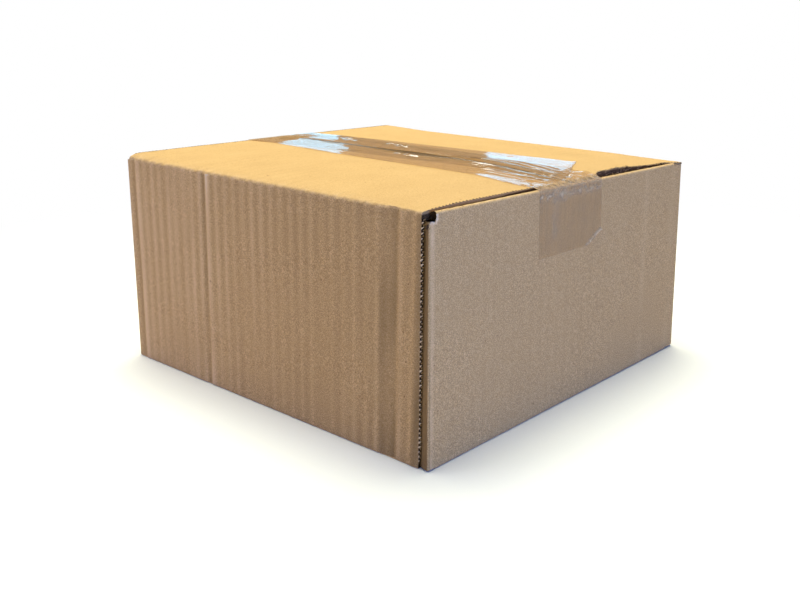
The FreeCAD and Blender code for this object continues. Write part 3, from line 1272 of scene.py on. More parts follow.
        past_crease = np.clip(w2 - r, 0, None) / (self.flap_depth - r)
        inner_w = self.inset + past_crease * (self.flap_depth - self.inset)
        in_crease = -self.inset + 0.3 * (rise[:, None] / r + 1)
        inner_h = np.where(w2 <= r + 1e-6, in_crease, height - thick)
        inner = self.placed(wall, base, across, inner_w, inner_h)
        hinge = walls[0 if base else -1, pick]
        sheet.add(outer, inner, self.flap_wear(wall, t2, w2), joined=hinge, flip=base)
        self.lines[(wall, base)] = {"outer": outer[len(arc):], "inner": inner[len(arc):]}

    def flap_height(self, wall: Wall, base: bool, t: Array, w: Array) -> Array:
        """Height of a flap's outer face over its crease, before the crease's own rounding.

        Args:
            wall: the panel that the flap hangs on.
            base: True for a base flap.
            t: the place along the crease.
            w: how far it is from the crease.

        Returns:
            The height at each place.
        """
        if wall.is_end:
            shelf = self.inset if base else self.shelf
            dip = ((0, 0), (1.2, 0), (1.5, -0.05), (3.0, -shelf * 0.75), (3.7, -shelf), (97.0, -shelf))
            return through(w, dip)
        if base:
            by_tape = smooth((w - self.base_tape_at + 0.8) / 0.7) * smooth(95.0 - np.abs(t))
            return -0.11 * by_tape
        made = self.front_height(t, w) if wall is Wall.FRONT else self.back_height(t, w)
        uneven = 0.035 * Waviness(41 + wall.value, 34.0).at(t, w) * smooth(w / 20)
        if wall is Wall.BACK:
            crumpled = smooth((t - 88.0) / 9.0) * smooth((w - 26.0) / 8.0) * smooth((84.0 - w) / 8.0)
            uneven = uneven + 0.75 * Waviness(57, 5.0).at(w, t * 0.2) * crumpled
        wash = -0.05 * (0.5 - 0.5 * np.cos(self.flute_phase(t))) * smooth(w / 6)
        return made + (uneven + wash) * smooth((self.half_x - np.abs(t)) / 12)

    def flap_wear(self, wall: Wall, t: Array, w: Array) -> Array:
        """How rubbed a flap is: along its crease, and over patches of the rest."""
        by_crease = 0.25 * smooth(1 - w / 2.5) * smooth(Waviness(24 + wall.value, 3.0).at(t, w) + 0.3)
        return by_crease + 0.02 * Waviness(26 + wall.value, 30.0).at(t, w)

    def flap_end_shift(self, wall: Wall, base: bool, t: Array, w: Array) -> Array:
        """How far a long top flap's end is pushed along X from its straight line.

        Args:
            wall: the panel that the flap hangs on.
            base: True for a base flap.
            t: the place along the crease.
            w: how far it is from the crease.

        Returns:
            The push at each place.
        """
        if base or wall.is_end:
            return np.zeros_like(t)
        by_end = smooth((np.abs(t) - 82.0) / 15.0)
        if wall is Wall.FRONT:
            return by_end * np.sign(t) * 0.25 * Waviness(51, 22.0).at(w, 0.0)
        wavy = np.where(t > 0, 0.65, 0.25) * Waviness(53, 7.0).at(w, 0.0) * smooth(w / 10)
        torn_back = np.where(t > 0, 3.45 * smooth(1.25 - w / 10.0), 0.0)
        return by_end * (np.sign(t) * wavy + torn_back)

    def flap_thickness(self, wall: Wall, base: bool, height: Array) -> Array:
        """Thickness of a flap, crushed beside its crease.

        Args:
            wall: the panel that the flap hangs on.
            base: True for a base flap.
            height: the flap's height over its crease.

        Returns:
            The thickness at each place.
        """
        if base or wall.is_end:
            return np.full_like(height, self.board)
        return np.clip(1.0 + height, self.crushed, self.board)

    def placed(self, wall: Wall, base: bool, along: Array, inward: Array, height: Array) -> Array:
        """Puts a flap's places into the part's frame.

        Args:
            wall: the panel that the flap hangs on.
            base: True for a base flap.
            along: the places along the crease.
            inward: how far they are from the panel's face.
            height: how far they stand out of the crease.

        Returns:
            The places, with the three coordinates last.
        """
        z = -height if base else self.height + height
        if wall is Wall.FRONT:
            return np.stack([along, inward - self.half_y, z], -1)
        if wall is Wall.BACK:
            return np.stack([along, self.half_y - inward, z], -1)
        if wall is Wall.NEAR_END:
            return np.stack([self.half_x - inward, along, z], -1)
        return np.stack([inward - self.half_x, along, z], -1)

    def build(self, finishes: Finishes) -> bpy.types.Object:
        """Makes the whole sheet.

        Args:
            finishes: the materials.

        Returns:
            The carton's object.
        """
        self.columns()
        sheet = FoldedSheet()
        walls = self.walls(sheet)
        for wall in Wall:
            for base in (False, True):
                self.flap(sheet, walls, wall, base)
        return sheet.build("folded_carton", CutRim(), finishes)

    def joint_cut(self, back: float, shift: float) -> list[tuple[Array, Array]]:
        """A liner of the front panel where the toothed knife cut it.

        Args:
            back: how far the liner lies behind the panel's face.
            shift: how far its teeth are shifted up from the first.

        Returns:
            One line: its points and the way out of the sheet at each.
        """
        keep = (self.wall_z > 1.2) & (self.wall_z < self.height - self.notch)
        cut = self.wall_outer[keep, -1]
        way = np.tile([1.0, 0.10, 0.55], (len(cut), 1))
        return [(cut + np.array([-0.30, back, shift]), way)]

    def flap_shadow_notches(self) -> list[tuple[Array, Array]]:
        """Lines for thin near-black teeth at the ends of the long flaps' upper liners, which paint the shadow
        in the gaps between the liner's teeth.

        Returns:
            Each line's points and, at each, the way in from the cut.
        """
        found = []
        for wall in (Wall.FRONT, Wall.BACK):
            block = self.lines[(wall, False)]
            for column in (0, -1):
                line = block["outer"][:, column].copy()
                sign = np.sign(line[0, 0])
                line += np.array([0.03 * sign, 0.0, 0.02])
                found.append((line, np.tile([-0.75 * sign, 0.66, 0.0], (len(line), 1))))
        return found

    def flap_cuts(self) -> list[tuple[Array, Array]]:
        """The lower liners at the ends of the long flaps, and both liners at the back and the base.

        Returns:
            Each line's points and, at each, the way out of the sheet.
        """
        found = []
        for wall in (Wall.FRONT, Wall.BACK):
            for base in (False, True):
                block = self.lines[(wall, base)]
                for column in (0, -1):
                    sign = np.sign(block["outer"][0, column, 0])
                    for face in ("outer", "inner") if base or wall is Wall.BACK else ("inner",):
                        line = block[face][:, column].copy()
                        line[:, 0] -= 0.25 * sign
                        line[:, 2] += 0.3 if base and face == "outer" else 0.0
                        way = -0.6 if face == "outer" and not base else 0.4
                        found.append((line, np.tile([sign, 0.0, way], (len(line), 1))))
        return found


class GeometryTree:
    """A Geometry Nodes tree that is written here, run once on an object and turned into plain mesh."""

    def __init__(self, name: str) -> None:
        """Makes the tree with a geometry input and output.

        Args:
            name: the tree's name.
        """
        self.tree = bpy.data.node_groups.new(name, "GeometryNodeTree")
        self.tree.interface.new_socket("Geometry", in_out="INPUT", socket_type="NodeSocketGeometry")
        self.tree.interface.new_socket("Geometry", in_out="OUTPUT", socket_type="NodeSocketGeometry")
        self.nodes = Nodes(self.tree)
        self.values: dict[str, float] = {}

    def size(self, name: str, value: float) -> None:
        """Adds a named number input and the value that it gets."""
        self.tree.interface.new_socket(name, in_out="INPUT", socket_type="NodeSocketFloat")
        self.values[name] = value

    def begin(self) -> bpy.types.Node:
        """The node that hands in the geometry and the named inputs."""
        return self.nodes.add("NodeGroupInput")

    def finish(self, geometry: bpy.types.NodeSocket, material: bpy.types.Material) -> None:
        """Ends the tree with real geometry and its material.

        Args:
            geometry: what the tree has made.
            material: its finish.
        """
        real = self.nodes.add("GeometryNodeRealizeInstances", {0: geometry})
        dressed = self.nodes.add("GeometryNodeSetMaterial", {0: real.outputs[0], "Material": material})
        self.nodes.add("NodeGroupOutput", {0: dressed.outputs[0]})

    def run(self, item: bpy.types.Object) -> bpy.types.Object:
        """Runs the tree on an object and leaves only the mesh that it makes.

        Args:
            item: the object that is the tree's input.

        Returns:
            The same object, with the result as its plain mesh.
        """
        modifier = item.modifiers.new("made", "NODES")
        modifier.node_group = self.tree
        for socket in self.tree.interface.items_tree:
            if socket.in_out == "INPUT" and socket.name in self.values:
                modifier[socket.identifier] = self.values[socket.name]
        graph = bpy.context.evaluated_depsgraph_get()
        mesh = bpy.data.meshes.new_from_object(item.evaluated_get(graph), depsgraph=graph)
        item.modifiers.remove(modifier)
        item.data = mesh
        return item


def line_object(name: str, lines: Sequence[tuple[Array, Array]]) -> bpy.types.Object:
    """Makes a mesh of open lines.

    Args:
        name: the object's name.
        lines: each line's points in millimetres and the way out of the sheet at each, which the
            "outward" attribute keeps.

    Returns:
        The lines' object.
    """
    points = np.concatenate([line for line, _ in lines])
    ways = np.concatenate([way for _, way in lines])
    edges = []
    start = 0
    for line, _ in lines:
        edges += [(start + i, start + i + 1) for i in range(len(line) - 1)]
        start += len(line)
    mesh = bpy.data.meshes.new(name)
    mesh.from_pydata((settled(points) * MM).tolist(), edges, [])
    mesh.attributes.new("outward", "FLOAT_VECTOR", "POINT").data.foreach_set("vector", ways.reshape(-1))
    return linked(name, mesh)


@dataclass(frozen=True)
class PaperTeeth:
    """The row of small paper teeth that the toothed knife leaves along a cut.

    Attributes:
        name: the row's name.
        pitch: spacing of the teeth.
        width: width of one at its root.
        reach: how far it stands out.
        thickness: thickness of the liner that it is cut from.
        seed: fixes how they differ.
    """

    name: str
    pitch: float = 1.97
    width: float = 1.75
    reach: float = 0.75
    thickness: float = 0.34
    seed: int = 7

    def tree(self, material: bpy.types.Material) -> GeometryTree:
        """Writes the tree that sets a tooth at each pitch along the lines.

        Args:
            material: the teeth's finish.

        Returns:
            The tree.
        """
        made = GeometryTree(self.name)
        for name in ("pitch", "width", "reach", "thickness"):
            made.size(name.title(), getattr(self, name) * MM)
        start = made.begin()
        nodes = made.nodes
        curve = nodes.add("GeometryNodeMeshToCurve", {0: start.outputs["Geometry"]})
        spaced = nodes.add("GeometryNodeResampleCurve", {"Curve": curve.outputs[0],
                                                         "Length": start.outputs["Pitch"]}, mode="LENGTH")
        tooth = nodes.add("GeometryNodeMeshCone", {"Vertices": 4, "Radius Top": 0.0, "Radius Bottom": 0.5,
                                                   "Depth": 1.0}, fill_type="NGON")
        size = nodes.add("ShaderNodeCombineXYZ", {0: start.outputs["Thickness"], 1: start.outputs["Width"],
                                                  2: start.outputs["Reach"]})
        flat = nodes.add("GeometryNodeTransform", {"Geometry": tooth.outputs[0], "Scale": size.outputs[0]})
        outward = nodes.add("GeometryNodeInputNamedAttribute", {0: "outward"}, data_type="FLOAT_VECTOR")
        point_out = nodes.add("FunctionNodeAlignRotationToVector", {"Vector": outward.outputs[0]}, axis="Z")
        tangent = nodes.add("GeometryNodeInputTangent")
        turned = nodes.add("FunctionNodeAlignRotationToVector", {
            "Rotation": point_out.outputs[0], "Vector": tangent.outputs[0]}, axis="Y", pivot_axis="Z")
        differ = nodes.add("FunctionNodeRandomValue", {"Seed": self.seed}, data_type="FLOAT_VECTOR")
        differ.inputs[0].default_value = (0.7, 0.75, 0.55)
        differ.inputs[1].default_value = (1.2, 1.1, 1.15)
        placed = nodes.add("GeometryNodeInstanceOnPoints", {
            "Points": spaced.outputs[0], "Instance": flat.outputs[0], "Rotation": turned.outputs[0],
            "Scale": differ.outputs[0]})
        made.finish(placed.outputs[0], material)
        return made

    def build(self, lines: list[tuple[Array, Array]], material: bpy.types.Material) -> bpy.types.Object:
        """Makes the teeth of some cut lines as one mesh.

        Args:
            lines: each line's points and the way out of the sheet.
            material: the teeth's finish.

        Returns:
            The teeth.
        """
        return self.tree(material).run(line_object(self.name, lines))


@dataclass
class Tape:
    """A strip of tape as a thin closed film, built from a grid over the box.

    Attributes:
        name: the piece's name.
        node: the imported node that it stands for.
        film: the film's thickness.
    """

    name: str
    node: str
    film: float = 0.07

    def film_object(self, points: Array, normals: Array, milky: Array, finishes: Finishes,
                    gloss_dulled: Array | float = 0.0) -> bpy.types.Object:
        """Makes the closed film.

        Args:
            points: rows by columns by 3 places on the film's lower face.
            normals: the way out of the box at each.
            milky: how much air under the film, or a painted highlight, makes it milky at each.
            finishes: the materials.
            gloss_dulled: 1 where another strip is stuck on this one, and over the seam, where taking the
                gloss away paints a dark seam line.

        Returns:
            The strip's object, with its "milky" and "gloss_dulled" attributes.
        """
        rows, columns = points.shape[:2]
        index = np.arange(rows * columns).reshape(rows, columns)
        upper = index + rows * columns
        faces = [grid_faces(upper), grid_faces(index, True)]
        ring = np.concatenate([index[0, :-1], index[:-1, -1], index[-1, :0:-1], index[:0:-1, 0]])
        after = np.roll(ring, -1)
        faces.append(np.stack([ring, after, after + rows * columns, ring + rows * columns], -1))
        both = np.concatenate([points.reshape(-1, 3), (points + normals * self.film).reshape(-1, 3)])
        item = make_object(self.name, both, np.concatenate(faces).tolist(), [finishes.film], sharp_deg=50.0)
        for name, share in (("milky", milky), ("gloss_dulled", gloss_dulled)):
            values = np.concatenate([np.broadcast_to(share, (rows, columns)).reshape(-1)] * 2)
            set_attribute(item, name, values)
        return item


@dataclass
class OverStrip(Tape):
    """The upper strip, which seals the seam and turns down over both end panels.

    Attributes:
        width: the strip's width.
        far_y: its middle at the far end.
        near_y: its middle at the near end.
        near_leg: how far it reaches down the near end panel.
        far_leg: how far it reaches down the far end panel.
        turn: how far under the creases the legs start to lie flat.
        torn_from: where along Y the tear across the near leg's lower corner starts.
        torn_size: how long the tear is along Y, and how high it rises.
        bump_at: the middle of the leg's bump along Y, and its height over the crease.
        creases: for each long crease, its place across the strip at its start and at the near end, its
            height, its half width and where it begins along X.
        bubbles: the bubbles under the strip, as bumps gives them.
        loose: where the strip lies loose and is crushed, the same way.
        cloudy: where air makes it cloudy, the same way.
    """

    name: str = "tape_over"
    node: str = "top_tape_over"
    width: float = 48.0
    far_y: float = -0.5
    near_y: float = -3.8
    near_leg: float = 29.7
    far_leg: float = 34.0
    turn: float = 0.6
    torn_from: float = 8.9
    torn_size: tuple[float, float] = (10.8, 5.6)
    bump_at: tuple[float, float] = (-9.5, -4.0)
    creases: tuple = (
        (-21.0, -12.0, 0.35, 1.2, 50.0), (-17.5, -10.0, 0.50, 1.0, 48.0), (-14.0, -8.0, 0.70, 1.3, 46.0),
        (-8.5, -5.0, 0.90, 1.4, 38.0), (-4.0, -3.0, 0.60, 1.0, 34.0), (1.5, -1.0, 1.00, 1.3, 16.0),
        (6.0, 1.5, 0.70, 1.1, 26.0), (10.0, 4.0, 0.60, 1.2, 34.0), (14.5, 8.0, 0.45, 1.1, 45.0),
        (18.0, 13.0, 0.35, 1.2, 52.0))
    bubbles: tuple = (
        (-21.0, 14.5, 6.0, 1.6, 0.66), (-11.0, 10.5, 6.0, 1.5, 0.64), (-16.0, 7.0, 4.0, 0.9, 0.30),
        (-55.0, 15.5, 4.0, 1.4, 0.55), (-48.0, 12.0, 4.0, 1.3, 0.50), (7.0, -5.5, 10.0, 1.6, 0.68),
        (55.0, 15.0, 18.0, 3.0, 0.25))
    loose: tuple = ((-17.0, 12.5, 10.0, 3.5, 1.0), (-52.0, 14.0, 7.0, 4.0, 1.0), (7.0, -5.0, 9.0, 1.6, 1.0))
    cloudy: tuple = (
        (-17.0, 12.5, 8.0, 3.0, 0.35), (-52.0, 14.0, 6.0, 3.0, 0.35), (7.0, -5.0, 7.0, 1.3, 0.35))

    def build(self, carton: Carton, finishes: Finishes) -> bpy.types.Object:
        """Lays the strip over the closed top.

        Args:
            carton: the carton that carries it.
            finishes: the materials.

        Returns:
            The strip.
        """
        hx = carton.half_x
        h = carton.height
        lip = hx - carton.flap_setback + 0.5
        across = steps([-0.5, 0.5], 0.5 / self.width)
        down_near = steps([0.0, 8.0, self.near_leg], 0.9)[1:]
        down_far = steps([0.0, self.far_leg], 2.5)[1:]
        top_x = steps([carton.far_setback - 0.5 - hx, 10.0, lip], 0.95)
        rows, ways = [], []

        def lay(x: float, z: float, way: tuple[float, float, float]) -> None:
            """Adds a row of points across the strip, and the way out of the box there."""
            rows.append(np.stack([x + 0 * across, 0 * across, z + 0 * across], -1))
            ways.append(way)

        for drop in down_far[::-1]:
            lay(-hx - 0.05, h - self.turn - drop, (-1.0, 0.0, 0.0))
        lay(-hx + 0.1, h - 0.1, (-0.7, 0.0, 0.7))
        for x in top_x:
            lay(x, 0.0, (0.0, 0.0, 1.0))
        lay((lip + hx) / 2, h + 0.35, (0.3, 0.0, 0.95))
        lay(hx - 0.25, h + 0.02, (0.7, 0.0, 0.7))
        for drop in (0.0, *down_near):
            lay(hx + 0.05, h - self.turn - drop, (1.0, 0.0, 0.0))
        points = np.array(rows)
        normal = unit(np.repeat(np.array(ways)[:, None, :], len(across), axis=1))
        x = points[:, :, 0]
        along = (x + hx) / (2 * hx)
        askew = 4.5 * np.clip(0.42 - along, 0, 1) / 0.42
        points[:, :, 1] = (self.far_y + (self.near_y - self.far_y) * along + askew
                           + across[None, :] * self.width)
        on_top = normal[:, :, 2] > 0.99
        y = points[:, :, 1]
        lie = carton.top_height(x, y) + 0.24
        points[:, :, 2] = np.where(on_top, h + lie + np.maximum(self.wrinkles(x, y), -0.04), points[:, :, 2])
        near = normal[:, :, 0] > 0.9
        z = points[:, :, 2]
        points[:, :, 0] += np.where(near, self.leg_wrinkles(y, z - h), 0.0)
        points[:, :, 1] += np.where(near, 0.033 * (h - z), 0.0)
        self.trim_corner(points, near, h)
        milky = self.milky(points, near, on_top, h)
        # Painted shade: the gloss is taken away over the seam, so that it shows as a dark line.
        gloss_dulled = smooth((1.8 - np.abs(y)) / 0.5) * on_top
        return self.film_object(points, normal, milky, finishes, gloss_dulled)

    def wrinkles(self, x: Array, y: Array) -> Array:
        """The creases that gather towards the near end, and the slack and bubbles of the rest.

        Args:
            x: places along X.
            y: places along Y.

        Returns:
            How far the film stands off at each place.
        """
        total = 0.10 * (1 + Waviness(61, 26.0).at(x * 0.5, y)) * smooth((99.0 - np.abs(x)) / 6.0)
        fading = 1 - 0.55 * smooth((x - 90) / 9)
        draw = np.random.default_rng(12)
        for start_y, end_y, tall, wide, begins in self.creases:
            run = np.clip((x - begins) / (98.0 - begins), 0, 1)
            line = start_y + (end_y - start_y) * run ** 1.7 + 0.7 * np.sin(x / 9.0 + draw.uniform(0, 6))
            total = total + tall * smooth(run * 2.2) * peak(y, line, wide) * fading
        by_end = smooth((x - 74.0) / 16.0) * (1.0 - 0.6 * smooth((x - 92.0) / 5.0))
        crumple = 0.06 * Waviness(73, 3.4).at(x * 0.6, y) + 0.40 * np.abs(Waviness(75, 8.0).at(x, y * 0.6))
        total = total + by_end * crumple
        rippled = 0.5 + smooth((x - 14.0) / 50.0) + 0.4 * smooth((-x - 12.0) / 25.0)
        ripple = 0.05 * Waviness(67, 7.0).at(x * 0.25, y) * rippled
        crushed = 0.24 * Waviness(99, 4.2).at(x * 0.7, y) * bumps(x, y, self.loose)
        sag = 0.32 * through(y, ((-13.0, 0.0), (-3.0, 1.0), (-0.5, 0.0))) * smooth((-x - 35.0) / 20.0)
        return total + ripple + bumps(x, y, self.bubbles) + crushed - sag

    def leg_wrinkles(self, y: Array, drop: Array) -> Array:
        """How far the leg on the end panel stands off it, in puckers and one bump under the crease.

        Args:
            y: places along Y.
            drop: their height over the top crease, below 0.

        Returns:
            The distance at each place.
        """
        puckers = 0.22 * smooth(1 + drop / 7.0) * (1 + Waviness(71, 5.0).at(y, drop)) * smooth(-drop / 1.5)
        return puckers + bumps(y, drop, ((*self.bump_at, 2.0, 1.6, 0.55),))

    def torn_edge(self, y: Array, h: float) -> Array:
        """Height of the near leg's lower edge, whose back corner is torn off aslant."""
        across, rise = self.torn_size
        return h - self.near_leg + np.clip((y - self.torn_from) / across, 0, 1) * rise

    def trim_corner(self, points: Array, near: Array, h: float) -> None:
        """Draws the near leg up to its torn edge, which stands off the panel a little.

        Args:
            points: the strip's points, which are moved.
            near: which of them are on the near leg.
            h: height of the top creases.
        """
        squeezed = 14.0
        y = points[:, :, 1]
        z = points[:, :, 2]
        low = h - self.near_leg
        edge = self.torn_edge(y, h)
        share = np.clip((z - low) / squeezed, 0, 1)
        moved = np.where(z < low + squeezed, edge + (low + squeezed - edge) * share, z)
        points[:, :, 2] = np.where(near, moved, z)
        lift = smooth(1 - (points[:, :, 2] - edge) / 1.3) * smooth((y - 8.0) / 2.0)
        points[:, :, 0] += np.where(near, 0.7 * lift, 0.0)

    def milky(self, points: Array, near: Array, on_top: Array, h: float) -> Array:
        """How milky the film is: air under it, and painted highlights on the puckers under the crease and
        along the torn edge.

        Args:
            points: the strip's points.
            near: which of them are on the near leg.
            on_top: which of them are on the closed top.
            h: height of the top creases.

        Returns:
            The share at each point.
        """
        x, y, z = points[:, :, 0], points[:, :, 1], points[:, :, 2]
        # Partly painted highlight: haze on the puckers under the crease, where air lies under them and light
        # catches them.
        under = peak(z - h, -3.2, 1.8) * 0.26 * near * (1 + Waviness(77, 3.0).at(y, z))
        from_bump = np.hypot(y - self.bump_at[0], z - h - self.bump_at[1])
        ring = 0.4 * peak(from_bump, 2.2, 0.6) * near
        streak = peak(y, -15.5, 2.6) * 0.24 * near * smooth((z - h + 26.0) / 12.0)
        # Painted highlight along the lifted torn edge of the leg.
        torn = smooth(1 - (z - self.torn_edge(y, h)) / 1.4) * smooth((y - 8.0) / 2.0) * near
        lip = smooth((x - 95.0) / 3.0) * (1 - near) * (0.42 + 0.25 * Waviness(79, 4.0).at(y, x))
        golden = 0.14 * smooth((x - 72.0) / 16.0) * on_top * smooth(Waviness(89, 6.0).at(y, x * 0.4) + 0.2)
        cloudy = bumps(x, y, self.cloudy) * smooth(Waviness(97, 3.6).at(x * 0.5, y) + 0.5) * on_top
        return np.clip(under + ring + streak + torn + lip + golden + cloudy, 0, 1)


@dataclass
class UnderStrip(Tape):
    """The lower strip, laid askew along the seam and cut off slanting before the near end.

    Attributes:
        width: the strip's width.
        far_x: where it starts.
        near_x: where its middle ends.
        far_y: its middle at the far end.
        near_y: its middle at the near end.
        slant: how much further its front edge runs than its back edge.
        upper_far: the middle of the strip above it at the far end.
        upper_drift: how far that has moved by the near end.
    """

    name: str = "tape_under"
    node: str = "top_tape_under"
    width: float = 48.0
    far_x: float = -97.0
    near_x: float = 88.0
    far_y: float = 2.5
    near_y: float = 15.0
    slant: float = 24.0
    upper_far: float = -0.5
    upper_drift: float = -3.8

    def build(self, carton: Carton, finishes: Finishes) -> bpy.types.Object:
        """Lays the strip on the closed top.

        Args:
            carton: the carton that carries it.
            finishes: the materials.

        Returns:
            The strip.
        """
        across = steps([-0.5, 0.5], 0.8 / self.width)
        run = steps([0.0, 1.0], 1.4 / (self.near_x - self.far_x))
        share, side = np.meshgrid(run, across, indexing="ij")
        x = self.far_x + share * (self.near_x - self.slant * side - self.far_x)
        y = self.far_y + share * (self.near_y - self.far_y) + side * self.width
        slack = 0.06 * (1 + Waviness(81, 20.0).at(x * 0.5, y)) + 0.04 * Waviness(83, 6.0).at(x * 0.3, y)
        past_end = x - self.near_x + self.slant * side
        rim = 0.30 * smooth((past_end + 3.0) / 3.0)
        z = carton.height + carton.top_height(x, y) + 0.04 + slack + rim
        points = np.stack([x, y, z], -1)
        normal = np.zeros_like(points)
        normal[:, :, 2] = 1.0
        edge = smooth((past_end + 2.0) / 2.0) * 0.5
        upper_middle = self.upper_far + self.upper_drift * (x / carton.length + 0.5)
        gloss_dulled = smooth((self.width / 2 + 0.2 - np.abs(y - upper_middle)) / 0.6)
        return self.film_object(points, normal, edge, finishes, gloss_dulled)


@dataclass
class BaseStrip(Tape):
    """The strip that closes the base, pressed flat between the box and what it stands on."""

    name: str = "tape_base"
    node: str = "base_tape"

    def build(self, finishes: Finishes) -> bpy.types.Object:
        """Lays the strip in its place under the seam of the base.

        Args:
            finishes: the materials.

        Returns:
            The strip.
        """
        low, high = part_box(self.node)
        x, y = np.meshgrid(steps([low.x / MM, high.x / MM], 3.0), steps([low.y / MM, high.y / MM], 1.5),
                           indexing="ij")
        z = 0.085 - 0.012 * (1 + Waviness(91, 9.0).at(x * 0.4, y))
        points = np.stack([x, y, z], -1)[:, ::-1]
        normal = np.zeros_like(points)
        normal[:, :, 2] = -1.0
        milky = 0.2 * smooth(Waviness(95, 16.0).at(x, y) - 0.6)[:, ::-1]
        return self.film_object(points, normal, milky, finishes)


@dataclass(frozen=True)
class Lamp:
    """A soft area lamp that looks at a point of the box.

    Attributes:
        name: the lamp's name.
        place: where it hangs, in metres.
        target: what it looks at, in metres.
        size: its width and height, in metres.
        watts: its power.
        colour: its colour.
    """

    name: str
    place: tuple[float, float, float]
    target: tuple[float, float, float]
    size: tuple[float, float]
    watts: float
    colour: tuple[float, float, float]

    def build(self) -> None:
        """Hangs the lamp."""
        data = bpy.data.lights.new(self.name, "AREA")
        data.shape = "RECTANGLE"
        data.size, data.size_y = self.size
        data.energy = self.watts
        data.color = self.colour
        item = linked(self.name, data)
        item.location = self.place
        toward = Vector(self.target) - Vector(self.place)
        item.rotation_euler = toward.to_track_quat("-Z", "Y").to_euler()
        item.visible_camera = False
        item.visible_glossy = False


def one_face(name: str, places: Sequence[Sequence[float]]) -> bpy.types.Mesh:
    """Makes a mesh of one four-cornered face.

    Args:
        name: the mesh's name.
        places: the corners in order.

    Returns:
        The mesh.
    """
    mesh = bpy.data.meshes.new(name)
    mesh.from_pydata(places, [], [(0, 1, 2, 3)])
    return mesh


def show_in_gloss(name: str, mesh: bpy.types.Mesh, colour: tuple) -> None:
    """Makes a glowing staging object that only mirrors see.

    Args:
        name: the object's name.
        mesh: its mesh.
        colour: the colour that it shows.
    """
    material, nodes = new_material(name)
    nodes.surface(nodes.add("ShaderNodeEmission", {0: colour, 1: 1.0}))
    mesh.materials.append(material)
    item = linked(name, mesh)
    item.visible_camera = False
    item.visible_diffuse = False
    item.visible_transmission = False
    item.visible_shadow = False
    item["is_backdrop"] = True


@dataclass(frozen=True)
class Card:
    """A card that stands behind the box, out of sight, and shows only in the gloss of the tape.

    Attributes:
        name: the card's name.
        start_deg: compass bearing of its left side from the tape, clockwise from +Y, at its foot and top.
        end_deg: bearing of its right side, the same way.
        colour: the colour that it shows.
        away: how far it stands from the box, in metres.
        foot: how high it starts, in metres.
        top: how high it reaches, in metres.
    """

    name: str
    start_deg: tuple[float, float]
    end_deg: tuple[float, float]
    colour: tuple
    away: float = 1.7
    foot: float = 0.0
    top: float = 0.95

    def build(self) -> None:
        """Stands the card up."""
        def at(side: tuple[float, float], end: int) -> tuple[float, float, float]:
            """The foot, 0, or top, 1, of one side of the card."""
            bearing = math.radians(side[end])
            return (self.away * math.sin(bearing), self.away * math.cos(bearing), (self.foot, self.top)[end])

        places = [at(self.start_deg, 0), at(self.end_deg, 0), at(self.end_deg, 1), at(self.start_deg, 1)]
        show_in_gloss(self.name, one_face(self.name, places), self.colour)


